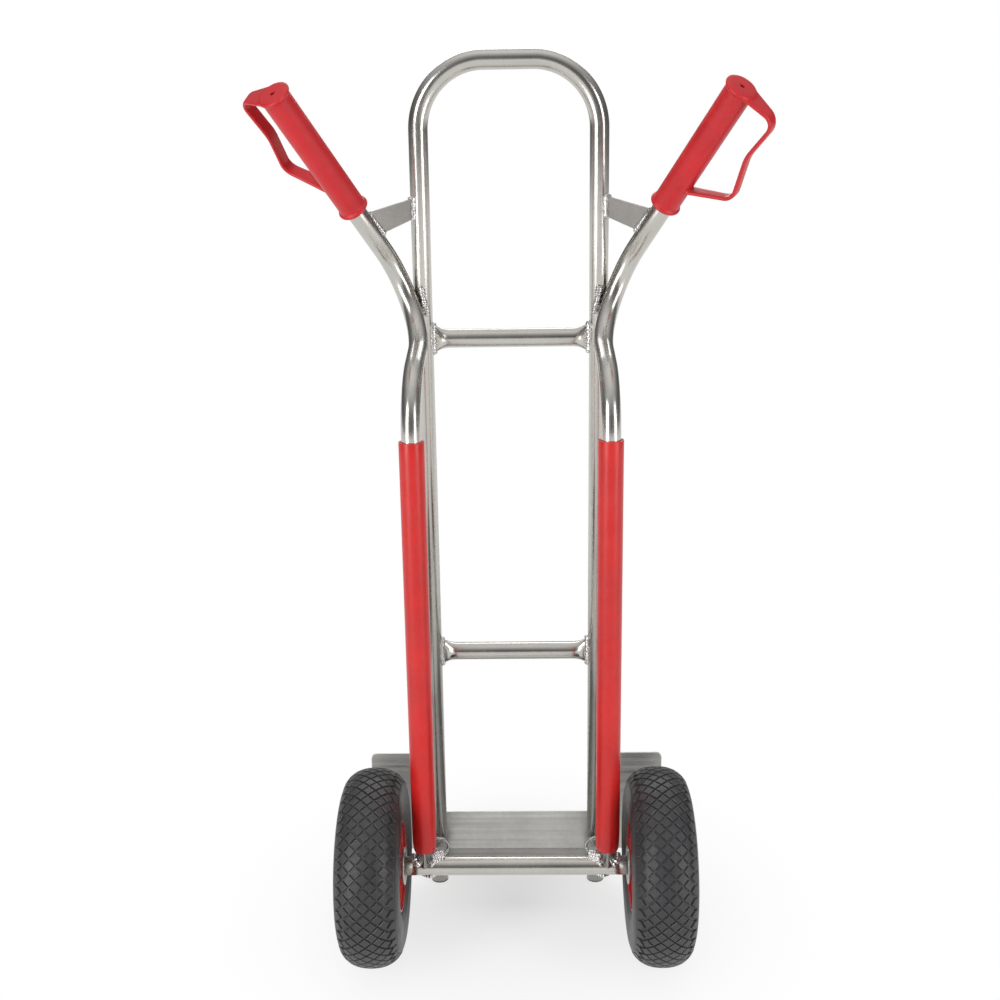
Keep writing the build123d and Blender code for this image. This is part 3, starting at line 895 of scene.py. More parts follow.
# ------------------------------------------------------------------ welded tube frame
@dataclass
class TubeWork:
    """Loop, crossbars, rails, handles, axle tube and struts."""

    finishes: Finishes
    tree: bpy.types.NodeTree = field(default_factory=tube_tree)
    sides: int = 64
    loop_bend: float = 85 * MM
    rail_bend_z: float = 780 * MM
    rail_bend: float = 88 * MM
    knee_x: float = 116.5 * MM
    knee_z: float = 850.5 * MM
    knee_bend: float = 84 * MM
    tip: Vector = field(default_factory=lambda: Vector((0.266, PLACE.axle.y - 0.014, 1.124)))
    cap: float = 7.3 * MM
    weld_gap: float = 0.2 * MM
    cope_room: float = 20 * MM
    bar_end: tuple = (37 * MM, 6 * MM)
    bar_taper: float = 28 * MM
    bar_press: float = 0.6 * MM
    knee_y: float = 0.0

    def __post_init__(self) -> None:
        """Find the knee's place at which the bent tube just touches the upright."""
        low, high = PLACE.loop_y, PLACE.loop_y + 8 * PLACE.tube_r
        for _ in range(30):
            self.knee_y = (low + high) / 2
            axis = PLACE.upright(Side.RIGHT, 0.0)
            nearest = min(math.hypot(p.x - axis.x, p.y - axis.y) for p in self.handle_path(Side.RIGHT, 160))
            if nearest > 2 * PLACE.tube_r + self.weld_gap:
                low = self.knee_y
            else:
                high = self.knee_y

    def knee(self) -> Vector:
        """Corner where the right-hand tube turns back to the grip."""
        return Vector((self.knee_x, self.knee_y, self.knee_z))

    def grip_axis(self) -> Vector:
        """Direction from the knee to the right-hand grip's tip."""
        return (self.tip - self.knee()).normalized()

    def handle_path(self, side: Side, arc_steps: int = 32) -> list[Vector]:
        """Points of a rail and handle from the axle to the grip's cap."""
        rail = Vector((PLACE.rail_x, PLACE.axle.y, PLACE.axle.z))
        end = self.tip - self.grip_axis() * self.cap
        corners = [rail, Vector((rail.x, rail.y, self.rail_bend_z)), self.knee(), end]
        path = rounded_path(corners, [self.rail_bend, self.knee_bend], arc_steps)
        return [Vector((side.value * p.x, p.y, p.z)) for p in path]

    def skin(self, name: str, path: Sequence[Vector]) -> bpy.types.Object:
        """Round skin along a path, open at its ends."""
        return run_tree(curve_object(name + "_path", path), self.tree, name, {
            "Radius": PLACE.tube_r, "Sides": self.sides, "Material": self.finishes.tube})

    def wall(self, piece: bpy.types.Object) -> bpy.types.Object:
        """Give a skin its wall, inwards."""
        solid = piece.modifiers.new("Wall", "SOLIDIFY")
        solid.thickness, solid.offset, solid.use_even_offset = PLACE.tube_wall, -1.0, True
        return piece

    def cope(self, piece: bpy.types.Object, low: bool, direction: Vector, point: Vector,
             axis: Vector) -> None:
        """Slide one end ring of a straight tube onto the surface of a crossing tube.

        Args:
            piece: the tube's skin.
            low: True for the ring at the path's start, False for its end.
            direction: the tube's direction, towards the crossing tube.
            point: a point on the crossing tube's axis.
            axis: direction of the crossing tube.
        """
        verts = piece.data.vertices
        count = len(verts)
        ring = range(self.sides) if low else range(count - self.sides, count)
        radius = PLACE.tube_r + self.weld_gap
        for i in ring:
            verts[i].co += direction * reach_to_tube(verts[i].co, direction, point, axis, radius)

    def build_loop(self) -> None:
        """The bent loop with its two uprights."""
        x, y, top = PLACE.upright_x, PLACE.loop_y, PLACE.loop_top - PLACE.tube_r
        corners = [Vector((-x, y, PLACE.loop_low)), Vector((-x, y, top)), Vector((x, y, top)),
                   Vector((x, y, PLACE.loop_low))]
        loop = self.wall(self.skin("loop_tube", rounded_path(corners, [self.loop_bend] * 2, 40)))
        hand_over(loop, Body.FRAME, "tube_aluminium", "main_loop_tube")

    def build_handles(self) -> None:
        """Rails and handles, coped onto the axle tube."""
        for side in Side:
            path = self.handle_path(side)
            path[0] = path[0] + Vector((0, 0, 3 * PLACE.tube_r))
            handle = self.skin(f"{side.word}_rail_and_handle", path)
            self.cope(handle, True, Vector((0, 0, -1)), PLACE.axle, Vector((1, 0, 0)))
            hand_over(self.wall(handle), Body.FRAME, "tube_aluminium", f"{side.word}_handle_tube")

    def build_crossbars(self) -> None:
        """Crossbars whose pressed ends meet the uprights."""
        rings, sides = 14, self.sides
        for node in ("upper_crossbar", "lower_crossbar"):
            middle = centre(node)
            flat_x = PLACE.upright_x - PLACE.tube_r
            stations = [flat_x + self.bar_press]
            stations += [flat_x - self.bar_taper * i / rings for i in range(rings + 1)]
            stations += [-x for x in reversed(stations)]
            points, faces = [], []
            for x in stations:
                share = min(max((flat_x - abs(x)) / self.bar_taper, 0.0), 1.0)
                share = 1 - (1 - share) ** 2
                share = share * share * (3 - 2 * share)
                high = self.bar_end[0] / 2 * (1 - share) + PLACE.tube_r * share
                deep = self.bar_end[1] / 2 * (1 - share) + PLACE.tube_r * share
                for k in range(sides):
                    turn = 2 * math.pi * k / sides
                    points.append(middle + Vector((x, deep * math.cos(turn), high * math.sin(turn))))
            for s in range(len(stations) - 1):
                for k in range(sides):
                    n = (k + 1) % sides
                    faces.append((s * sides + k, s * sides + n, (s + 1) * sides + n, (s + 1) * sides + k))
            bar = self.grained(mesh_from(node + "_tube", points, faces), middle)
            bar.data.materials.append(self.finishes.tube)
            solid = self.wall(bar).modifiers["Wall"]
            solid.use_even_offset = False
            hand_over(bar, Body.FRAME, "tube_aluminium", node)

    def grained(self, piece: bpy.types.Object, middle: Vector) -> bpy.types.Object:
        """Store the drawn grain of a tube that lies along X."""
        grain = piece.data.attributes.new("grain", "FLOAT_VECTOR", "POINT")
        for i, vert in enumerate(piece.data.vertices):
            out = Vector((0, vert.co.y - middle.y, vert.co.z - middle.z)).normalized()
            grain.data[i].vector = (out.y, out.z, vert.co.x)
        return piece

    def build_axle_and_struts(self) -> None:
        """Axle tube across the truck and the struts down to the uprights' feet."""
        half = Vector((PLACE.axle_half, 0, 0))
        steps = [PLACE.axle - half + half * (i / 8) for i in range(17)]
        hand_over(self.wall(self.skin("axle_tube_skin", steps)), Body.FRAME, "tube_aluminium", "axle_tube")
        foot = centre("right_axle_strut")
        for side in Side:
            start = Vector((side.value * foot.x, PLACE.axle.y, PLACE.axle.z))
            end = Vector((start.x, PLACE.loop_y, PLACE.strut_z))
            direction = (end - start).normalized()
            path = [start + direction * self.cope_room, end - direction * self.cope_room]
            strut = self.skin(f"{side.word}_strut_tube", path)
            self.cope(strut, True, -direction, start, Vector((1, 0, 0)))
            self.cope(strut, False, direction, end, Vector((0, 0, 1)))
            hand_over(self.wall(strut), Body.FRAME, "tube_aluminium", f"{side.word}_axle_strut")

    def build(self) -> None:
        """Build every tube."""
        self.build_loop()
        self.build_handles()
        self.build_crossbars()
        self.build_axle_and_struts()


# ------------------------------------------------------------------ weld beads
@dataclass
class WeldWork:
    """Weld beads at the joints of the frame."""

    tubes: TubeWork
    finishes: Finishes
    tree: bpy.types.NodeTree = field(default_factory=bead_tree)
    width: float = 9.5 * MM
    height: float = 6.0 * MM
    pitch: float = 1.9 * MM
    skin_gap: float = 0.4 * MM
    bar_gap: tuple = (1.2 * MM, 1.0 * MM)
    foot_scale: float = 1.25
    foot_half: float = 10.5 * MM
    foot_fill_in: float = 10 * MM
    foot_fill_back: float = 5 * MM
    foot_fill: tuple = (11 * MM, 15 * MM, 19 * MM)
    foot_fill_step: Vector = field(default_factory=lambda: Vector((2.5 * MM, 1.2 * MM, 0)))
    knee_scale: float = 1.6
    knee_half: float = 17 * MM
    knee_place: tuple = (8 * MM, 9 * MM)
    brace_scale: float = 1.05
    stitch_scale: float = 0.8
    stitch_side: float = 6.5 * MM
    stitch_depth: float = 1.6 * MM
    stitch_step: float = 4 * MM
    made: list = field(default_factory=list)

    def bead(self, points: Sequence[Vector], closed: bool = False, scale: float = 1.0) -> None:
        """Lay one bead along points."""
        number = len(self.made)
        curve = curve_object(f"bead_path_{number}", points, closed)
        self.made.append(run_tree(curve, self.tree, f"bead_{number}", {
            "Width": self.width * scale, "Height": self.height * scale, "Pitch": self.pitch,
            "Seed": 17 * number + 3, "Material": self.finishes.weld}))

    def around_tube(self, middle: Vector, axis: Vector, cutter: Vector, cutter_axis: Vector) -> list[Vector]:
        """Line where a tube's skin meets a crossing tube.

        Args:
            middle: a point on the tube's axis, outside the crossing tube.
            axis: the tube's direction, towards the crossing tube.
            cutter: a point on the crossing tube's axis.
            cutter_axis: direction of the crossing tube.

        Returns:
            The closed line's points.
        """
        axis, steps, radius = axis.normalized(), 48, PLACE.tube_r + self.skin_gap
        side = axis.orthogonal().normalized()
        line = []
        for k in range(steps):
            start = middle + Matrix.Rotation(2 * math.pi * k / steps, 3, axis) @ side * radius
            line.append(start + axis * reach_to_tube(start, axis, cutter, cutter_axis, radius))
        return line

    def crossbar_ends(self) -> None:
        """Beads round the pressed ends of the crossbars."""
        high, deep, steps = self.tubes.bar_end[0] / 2, self.tubes.bar_end[1] / 2, 40
        for node in ("upper_crossbar", "lower_crossbar"):
            z = centre(node).z
            for side in Side:
                axis = PLACE.upright(side, z)
                line = []
                for k in range(steps):
                    turn = 2 * math.pi * k / steps
                    y = (deep + self.bar_gap[0]) * math.cos(turn)
                    up = (high + self.bar_gap[1]) * math.sin(turn)
                    x = -side.value * math.sqrt(PLACE.tube_r ** 2 - y * y)
                    line.append(axis + Vector((x, y, up)))
                self.bead(line, closed=True)

    def rail_feet(self) -> None:
        """Beads round the rails' feet on the axle tube and the struts' two ends."""
        across, inwards = Vector((1, 0, 0)), PLACE.rail_x - self.foot_fill_in
        for side in Side:
            foot = Vector((side.value * PLACE.rail_x, PLACE.axle.y, PLACE.axle.z + 3 * PLACE.tube_r))
            ring = self.around_tube(foot, Vector((0, 0, -1)), PLACE.axle, across)
            for turn in (-1, 1):
                arc = [p for p in ring if (p.x - foot.x) * turn > 0 and abs(p.y - foot.y) < self.foot_half]
                self.bead(sorted(arc, key=lambda p: p.y), scale=self.foot_scale)
            for rise in self.foot_fill:
                near = PLACE.axle + Vector((side.value * inwards, -self.foot_fill_back, rise))
                step = self.foot_fill_step * Vector((-side.value, 1, 1))
                self.bead([near + step * i for i in range(6)], scale=1.5 - 0.02 * rise / MM)
            start = Vector((side.value * PLACE.upright_x, PLACE.axle.y, PLACE.axle.z))
            end = Vector((start.x, PLACE.loop_y, PLACE.strut_z))
            run = end - start
            half = start + run / 2
            self.bead(self.around_tube(half, -run, start, across), closed=True)
            self.bead(self.around_tube(half, run, end, Vector((0, 0, 1))), closed=True)

    def knees(self) -> None:
        """Beads along the touch of each handle tube and its upright."""
        for side in Side:
            path = self.tubes.handle_path(side, 64)
            axis = PLACE.upright(side, 0.0)
            gap = [math.hypot(p.x - axis.x, p.y - axis.y) for p in path]
            nearest = gap.index(min(gap))
            height = path[nearest].z
            for turn in (-1, 1):
                line = []
                for point in path:
                    if abs(point.z - height) < self.knee_half:
                        out = Vector((point.x - axis.x, point.y - axis.y, 0)).normalized()
                        flank = Vector((-out.y, out.x, 0)) * turn
                        line.append(Vector((axis.x, axis.y, point.z)) + out * self.knee_place[0]
                                    + flank * self.knee_place[1])
                self.bead(line, scale=self.knee_scale)

    def brace_ends(self, braces: "BraceWork") -> None:
        """Beads on both faces of each brace's ends."""
        for side in Side:
            for line in braces.weld_lines(side):
                self.bead(line, closed=True, scale=self.brace_scale)

    def plate_stitches(self) -> None:
        """Beads that hold the plates to the uprights' fronts."""
        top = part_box("wheel_guard_plate")[1].z
        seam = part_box("toe_plate")[1].z
        front = PLACE.loop_y + PLACE.tube_r
        for side in Side:
            for turn in (-1, 1):
                x = side.value * PLACE.upright_x + turn * self.stitch_side
                for low, high in ((8 * MM, seam - 6 * MM), (seam + 12 * MM, seam + 48 * MM),
                                  (top - 46 * MM, top - 4 * MM)):
                    steps = int((high - low) / self.stitch_step)
                    self.bead([Vector((x, front - self.stitch_depth, low + (high - low) * i / steps))
                               for i in range(steps + 1)], scale=self.stitch_scale)

    def build(self, braces: "BraceWork") -> None:
        """Lay every bead and join them into one piece."""
        self.crossbar_ends()
        self.rail_feet()
        self.knees()
        self.brace_ends(braces)
        self.plate_stitches()
        mesh_data = bmesh.new()
        for one in self.made:
            mesh_data.from_mesh(one.data)
        joined = bpy.data.meshes.new("weld_beads")
        mesh_data.to_mesh(joined)
        mesh_data.free()
        joined.materials.append(self.finishes.weld)
        for one in self.made:
            bpy.data.objects.remove(one)
        joined.polygons.foreach_set("use_smooth", [True] * len(joined.polygons))
        hand_over(new_object("weld_beads", joined), Body.FRAME, "tube_aluminium")


# ------------------------------------------------------------------ flat work
@dataclass
class BraceWork:
    """Flat bars on edge between the uprights and the handles."""

    tubes: TubeWork
    finishes: Finishes
    width: float = 26 * MM
    thickness: float = 4 * MM
    z: float = 989 * MM
    below_tip: float = 215 * MM
    fit: float = 0.1 * MM
    ray_start: float = 60 * MM

    def corners(self, side: Side) -> tuple[list[Vector], Vector]:
        """The four corners of a brace's middle plane and its face's direction."""
        start = PLACE.upright(Side.RIGHT, self.z)
        end = self.tubes.tip - self.tubes.grip_axis() * self.below_tip
        flat = Vector((end.x - start.x, end.y - start.y, 0)).normalized()
        face = Vector((flat.y, -flat.x, 0))
        up = Vector((0, 0, self.width / 2))
        low_z = start.z + (end.z - start.z) * 0.25
        radius = PLACE.tube_r + self.fit
        first = start + flat * radius
        first.z = low_z + (start.z - low_z) * 0.9
        axis = self.tubes.grip_axis()
        ends = []
        for lift in (up, -up):
            ray = end + lift - flat * self.ray_start
            ends.append(ray + flat * reach_to_tube(ray, flat, end, axis, radius))
        points = [first + up, ends[0], ends[1], first - up]
        mirror = Vector((side.value, 1, 1))
        return [p * mirror for p in points], face * mirror

    def weld_lines(self, side: Side) -> list[list[Vector]]:
        """Closed lines round both ends of a brace."""
        points, face = self.corners(side)
        out = face * (self.thickness / 2 + 0.6 * MM)
        lines = []
        for top, low in ((points[0], points[3]), (points[1], points[2])):
            steps = 9
            one = [top.lerp(low, i / steps) + out for i in range(steps + 1)]
            two = [low.lerp(top, i / steps) - out for i in range(steps + 1)]
            lines.append(one + two)
        return lines

    def build(self) -> None:
        """Build both braces."""
        for side in Side:
            points, face = self.corners(side)
            half = face * self.thickness / 2
            verts = [p + half for p in points] + [p - half for p in points]
            faces = [(0, 1, 2, 3), (7, 6, 5, 4)]
            faces += [(i, (i + 1) % 4, (i + 1) % 4 + 4, i + 4) for i in range(4)]
            brace = mesh_from(f"{side.word}_brace_bar", verts, faces)
            brace.data.materials.append(self.finishes.dull)
            hand_over(bevelled(brace, 0.5 * MM), Body.FRAME, "sheet_aluminium", f"{side.word}_handle_brace")


@dataclass
class PlateWork:
    """Wheel guard plate and toe plate."""

    finishes: Finishes
    wing_corner: float = 8.5 * MM
    low_corner: float = 4 * MM
    middle_z: float = 105 * MM
    notch_cover: float = 5 * MM
    toe_thickness: float = 4 * MM
    toe_bend: float = 7 * MM
    toe_corner: float = 12 * MM

    def sheet(self, name: str, outline: Sequence[Vector], out: Vector, material: bpy.types.Material,
              edge: float) -> bpy.types.Object:
        """Flat sheet from an outline, with softened edges."""
        count = len(outline)
        points = list(outline) + [p + out for p in outline]
        faces = [tuple(range(count)), tuple(range(2 * count - 1, count - 1, -1))]
        faces += [(i, (i + 1) % count, (i + 1) % count + count, i + count) for i in range(count)]
        piece = mesh_from(name, points, faces)
        piece.data.materials.append(material)
        return bevelled(piece, edge, 2)

    def build_guard(self) -> None:
        """One sheet with a wing before each wheel and a low middle."""
        low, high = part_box("wheel_guard_plate")
        notch = PLACE.upright_x - PLACE.tube_r + self.notch_cover
        corners = [(high.x, low.z), (high.x, high.z), (notch, high.z), (notch, self.middle_z),
                   (-notch, self.middle_z), (-notch, high.z), (low.x, high.z), (low.x, low.z)]
        radii = [self.low_corner, self.wing_corner, 1 * MM, 2 * MM, 2 * MM, 1 * MM, self.wing_corner,
                 self.low_corner]
        flat = [Vector((x, low.y, z)) for x, z in corners]
        line = rounded_path([flat[-1].lerp(flat[0], 0.5)] + flat + [flat[-1].lerp(flat[0], 0.5)], radii, 6)
        plate = self.sheet("guard_sheet", line[:-1], Vector((0, high.y - low.y, 0)), self.finishes.sheet,
                           0.4 * MM)
        hand_over(plate, Body.FRAME, "sheet_aluminium", "wheel_guard_plate")

    def build_toe(self) -> None:
        """Bent angle with rounded front corners."""
        low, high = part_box("toe_plate")
        t, half = self.toe_thickness, high.x
        section = rounded_path([Vector((0, low.y, high.z)), Vector((0, low.y, 0)), Vector((0, high.y, 0))],
                               [self.toe_bend], 8)
        inner = rounded_path([Vector((0, low.y + t, high.z)), Vector((0, low.y + t, t)),
                              Vector((0, high.y, t))], [self.toe_bend - t], 8)
        r, steps = self.toe_corner, 8
        stations = []
        for i in range(steps + 1):
            turn = math.pi / 2 * i / steps
            stations.append((half - r + r * math.sin(turn), high.y - r + r * math.cos(turn)))
        stations = [(-x, y) for x, y in reversed(stations)] + stations
        points, faces = [], []
        count = len(section)
        for x, reach in stations:
            for line in (section, inner):
                for p in line:
                    y = reach if abs(p.y - high.y) < 1e-7 else p.y
                    points.append(Vector((x, y, p.z)))
        ring = 2 * count
        for s in range(len(stations) - 1):
            a, b = s * ring, (s + 1) * ring
            for start in (0, count):
                for i in range(count - 1):
                    faces.append((a + start + i, a + start + i + 1, b + start + i + 1, b + start + i))
            faces.append((a, b, b + count, a + count))
            faces.append((a + count - 1, b + count - 1, b + 2 * count - 1, a + 2 * count - 1))
        for a in (0, (len(stations) - 1) * ring):
            for i in range(count - 1):
                faces.append((a + i, a + i + 1, a + count + i + 1, a + count + i))
        plate = mesh_from("toe_angle", points, faces)
        # The darker sheet here is painted shade: the toe plate's strip below the guard plate lies in shadow.
        plate.data.materials.append(self.finishes.dull)
        hand_over(bevelled(plate, 0.5 * MM, 2), Body.FRAME, "sheet_aluminium", "toe_plate")

    def build(self) -> None:
        """Build both plates."""
        self.build_guard()
        self.build_toe()


# ------------------------------------------------------------------ plastic sleeves and grips
@dataclass
class PlasticWork:
    """Sleeves on the slide rails and grips with knuckle guards."""

    tubes: TubeWork
    finishes: Finishes
    fit: float = 0.1 * MM
    sleeve_taper: float = 26 * MM
    sleeve_tip_wall: float = 1.2 * MM
    grip_length: float = 189 * MM
    grip_wall: float = 4.65 * MM
    collar_rise: float = 2.75 * MM
    collar: float = 6 * MM
    vent_r: float = 3.0 * MM
    cap: float = 7 * MM
    guard_reach: float = 56 * MM
    guard_low_reach: float = 66 * MM
    guard_waist: float = 5 * MM
    guard_top_drop: float = 6 * MM
    guard_foot_rise: float = 40 * MM
    guard_length: float = 160 * MM
    guard_corner: float = 15 * MM
    guard_waist_r: float = 45 * MM
    strap: tuple = (16 * MM, 5 * MM)
    cap_spread: float = 11 * MM
    foot_spread: float = 2.5 * MM
    voxel: float = 0.85 * MM
    soften: int = 7
    rolls: dict = field(default_factory=lambda: {Side.LEFT: -28.0, Side.RIGHT: 36.0})

    def build_sleeves(self) -> None:
        """Sleeve with a rounded lower end on each rail."""
        bore = PLACE.tube_r + self.fit
        for side in Side:
            node = f"{side.word}_skid_sleeve"
            low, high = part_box(node)
            outer = (high.x - low.x) / 2
            length = high.z - low.z
            tip, taper = bore + self.sleeve_tip_wall, self.sleeve_taper
            nose = [(taper * (1 - math.sin(a)), tip + (outer - tip) * math.cos(a))
                    for a in (math.pi / 2 * i / 12 for i in range(13))]
            outline = [(0, bore)] + list(reversed(nose)) + [(length * i / 24, outer) for i in range(2, 24)]
            outline += [(length - 0.8 * MM, outer), (length - 0.2 * MM, outer - 0.2 * MM),
                        (length, outer - 0.8 * MM), (length, bore)]
            base = Vector((side.value * PLACE.rail_x, PLACE.axle.y, low.z))
            sleeve = lathe(f"{side.word}_rail_sleeve", outline, base, Vector((0, 0, 1)), 96)
            set_sharp(sleeve, 50)
            sleeve.data.materials.append(self.finishes.sleeve)
            hand_over(sleeve, Body.FRAME, "sleeve_plastic", node)

    def grip_frame(self, side: Side) -> tuple[Vector, Vector, Vector, Vector]:
        """Foot, axis, guard direction and guard face of a right-hand grip."""
        axis = self.tubes.grip_axis()
        out = (Vector((1, 0, 0)) - axis * axis.x).normalized()
        out = Matrix.Rotation(math.radians(-self.rolls[side]), 3, axis) @ out
        return self.tubes.tip - axis * self.grip_length, axis, out, axis.cross(out)

    def strap_mesh(self, place: Matrix) -> bpy.types.Object:
        """Guard strap from inside the cap round to inside the grip.

        Args:
            place: grip frame, with Z up the grip and X out through the guard.

        Returns:
            The closed strap.
        """
        top, low = self.grip_length - self.collar / 2, self.grip_length - self.guard_length
        reach, low_reach = self.guard_reach, self.guard_low_reach
        high_corner, low_corner = top - self.guard_top_drop, low + self.guard_foot_rise
        start, end = self.vent_r + 4 * MM, PLACE.tube_r + self.fit + 2 * MM
        corners = [(start, top - self.guard_top_drop * start / reach), (reach, high_corner),
                   (reach - self.guard_waist, (high_corner + low_corner) / 2), (low_reach, low_corner),
                   (end, low + self.guard_foot_rise * end / low_reach)]
        path = rounded_path([Vector((x, 0, z)) for x, z in corners],
                            [self.guard_corner, self.guard_waist_r, self.guard_corner], 12)
        dense = []
        for a, b in zip(path, path[1:]):
            steps = max(1, int((b - a).length / (3 * MM)))
            dense += [a.lerp(b, i / steps) for i in range(steps)]
        dense.append(path[-1])
        points, faces, around = [], [], 24
        for i, p in enumerate(dense):
            ahead = dense[min(i + 1, len(dense) - 1)] - dense[max(i - 1, 0)]
            normal = Vector((ahead.z, 0, -ahead.x)).normalized()
            inward = max(0.0, 1 - p.x / (reach - 4 * MM))
            spread = self.cap_spread if i < len(dense) / 2 else self.foot_spread
            wide = self.strap[0] / 2 + spread * inward
            for k in range(around):
                turn = 2 * math.pi * k / around
                c, sine = math.cos(turn), math.sin(turn)
                flat = wide * math.copysign(abs(c) ** 0.5, c)
                deep = self.strap[1] / 2 * math.copysign(abs(sine) ** 0.5, sine)
                points.append(place @ (p + normal * deep + Vector((0, flat, 0))))
        for i in range(len(dense) - 1):
            for k in range(around):
                n = (k + 1) % around
                faces.append((i * around + k, i * around + n, (i + 1) * around + n, (i + 1) * around + k))
        faces.append(tuple(range(around)))
        faces.append(tuple(range(len(points) - around, len(points))))
        return mesh_from("guard_strap", points, faces)

    def grip_outline(self) -> list[tuple]:
        """Section of the grip: its outside, the vent through its cap and its bore."""
        r = PLACE.tube_r + self.fit + self.grip_wall
        big, length, half = r + self.collar_rise, self.grip_length, self.collar / 2
        low_ring = [(half + half * math.cos(a), big - half + half * math.sin(a))
                    for a in (math.pi * (1 - i / 10) for i in range(11))]
        top_ring = [(length - x, y) for x, y in reversed(low_ring[3:])]
        neck = self.collar + 1.2 * MM
        bore, inner = PLACE.tube_r + self.fit, length - self.cap
        dome = [(length - 0.2 * MM, big - 4 * MM), (length, big * 0.5), (length, self.vent_r)]
        return ([(0, bore), (0, big - half)] + low_ring + [(neck, r)]
                + [(neck + (length - 2 * neck) * i / 12, r) for i in range(1, 12)]
                + [(length - neck, r)] + top_ring + dome + [(inner, self.vent_r), (inner, bore)])

    def build_grips(self) -> None:
        """Grip and guard fused into one moulding, then bored for its tube."""
        for side in Side:
            foot, axis, out, face = self.grip_frame(side)
            place = Matrix.Translation(foot) @ Matrix((out, face, axis)).transposed().to_4x4()
            body = lathe("grip_body", self.grip_outline(), foot, axis, 128)
            strap = self.strap_mesh(place)
            work = bmesh.new()
            work.from_mesh(body.data)
            work.from_mesh(strap.data)
            mesh = bpy.data.meshes.new("grip")
            work.to_mesh(mesh)
            work.free()
            for part in (body, strap):
                bpy.data.objects.remove(part)
            grip = new_object("grip_rough", mesh)
            remesh = grip.modifiers.new("Fuse", "REMESH")
            remesh.mode, remesh.voxel_size, remesh.use_smooth_shade = "VOXEL", self.voxel, True
            smooth = grip.modifiers.new("Soften", "SMOOTH")
            smooth.factor, smooth.iterations = 0.5, self.soften
            grip = plain_mesh(grip, f"{side.word}_hand_grip")
            self.true_bore(grip, foot, axis)
            if side is Side.LEFT:
                grip.data.transform(Matrix.Diagonal((-1, 1, 1, 1)))
                grip.data.flip_normals()
            grip.data.materials.clear()
            grip.data.materials.append(self.finishes.grip)
            hand_over(grip, Body.FRAME, "grip_plastic", f"{side.word}_grip")

    def true_bore(self, grip: bpy.types.Object, foot: Vector, axis: Vector) -> None:
        """Bring the fused mesh's bore back to a true cylinder."""
        bore, inner = PLACE.tube_r + self.fit, self.grip_length - self.cap
        for vert in grip.data.vertices:
            rel = vert.co - foot
            along = rel.dot(axis)
            out = rel - axis * along
            if self.voxel < out.length < bore + self.voxel and along < inner - self.voxel:
                vert.co = foot + axis * along + out.normalized() * bore

    def build(self) -> None:
        """Build sleeves and grips."""
        self.build_sleeves()
        self.build_grips()


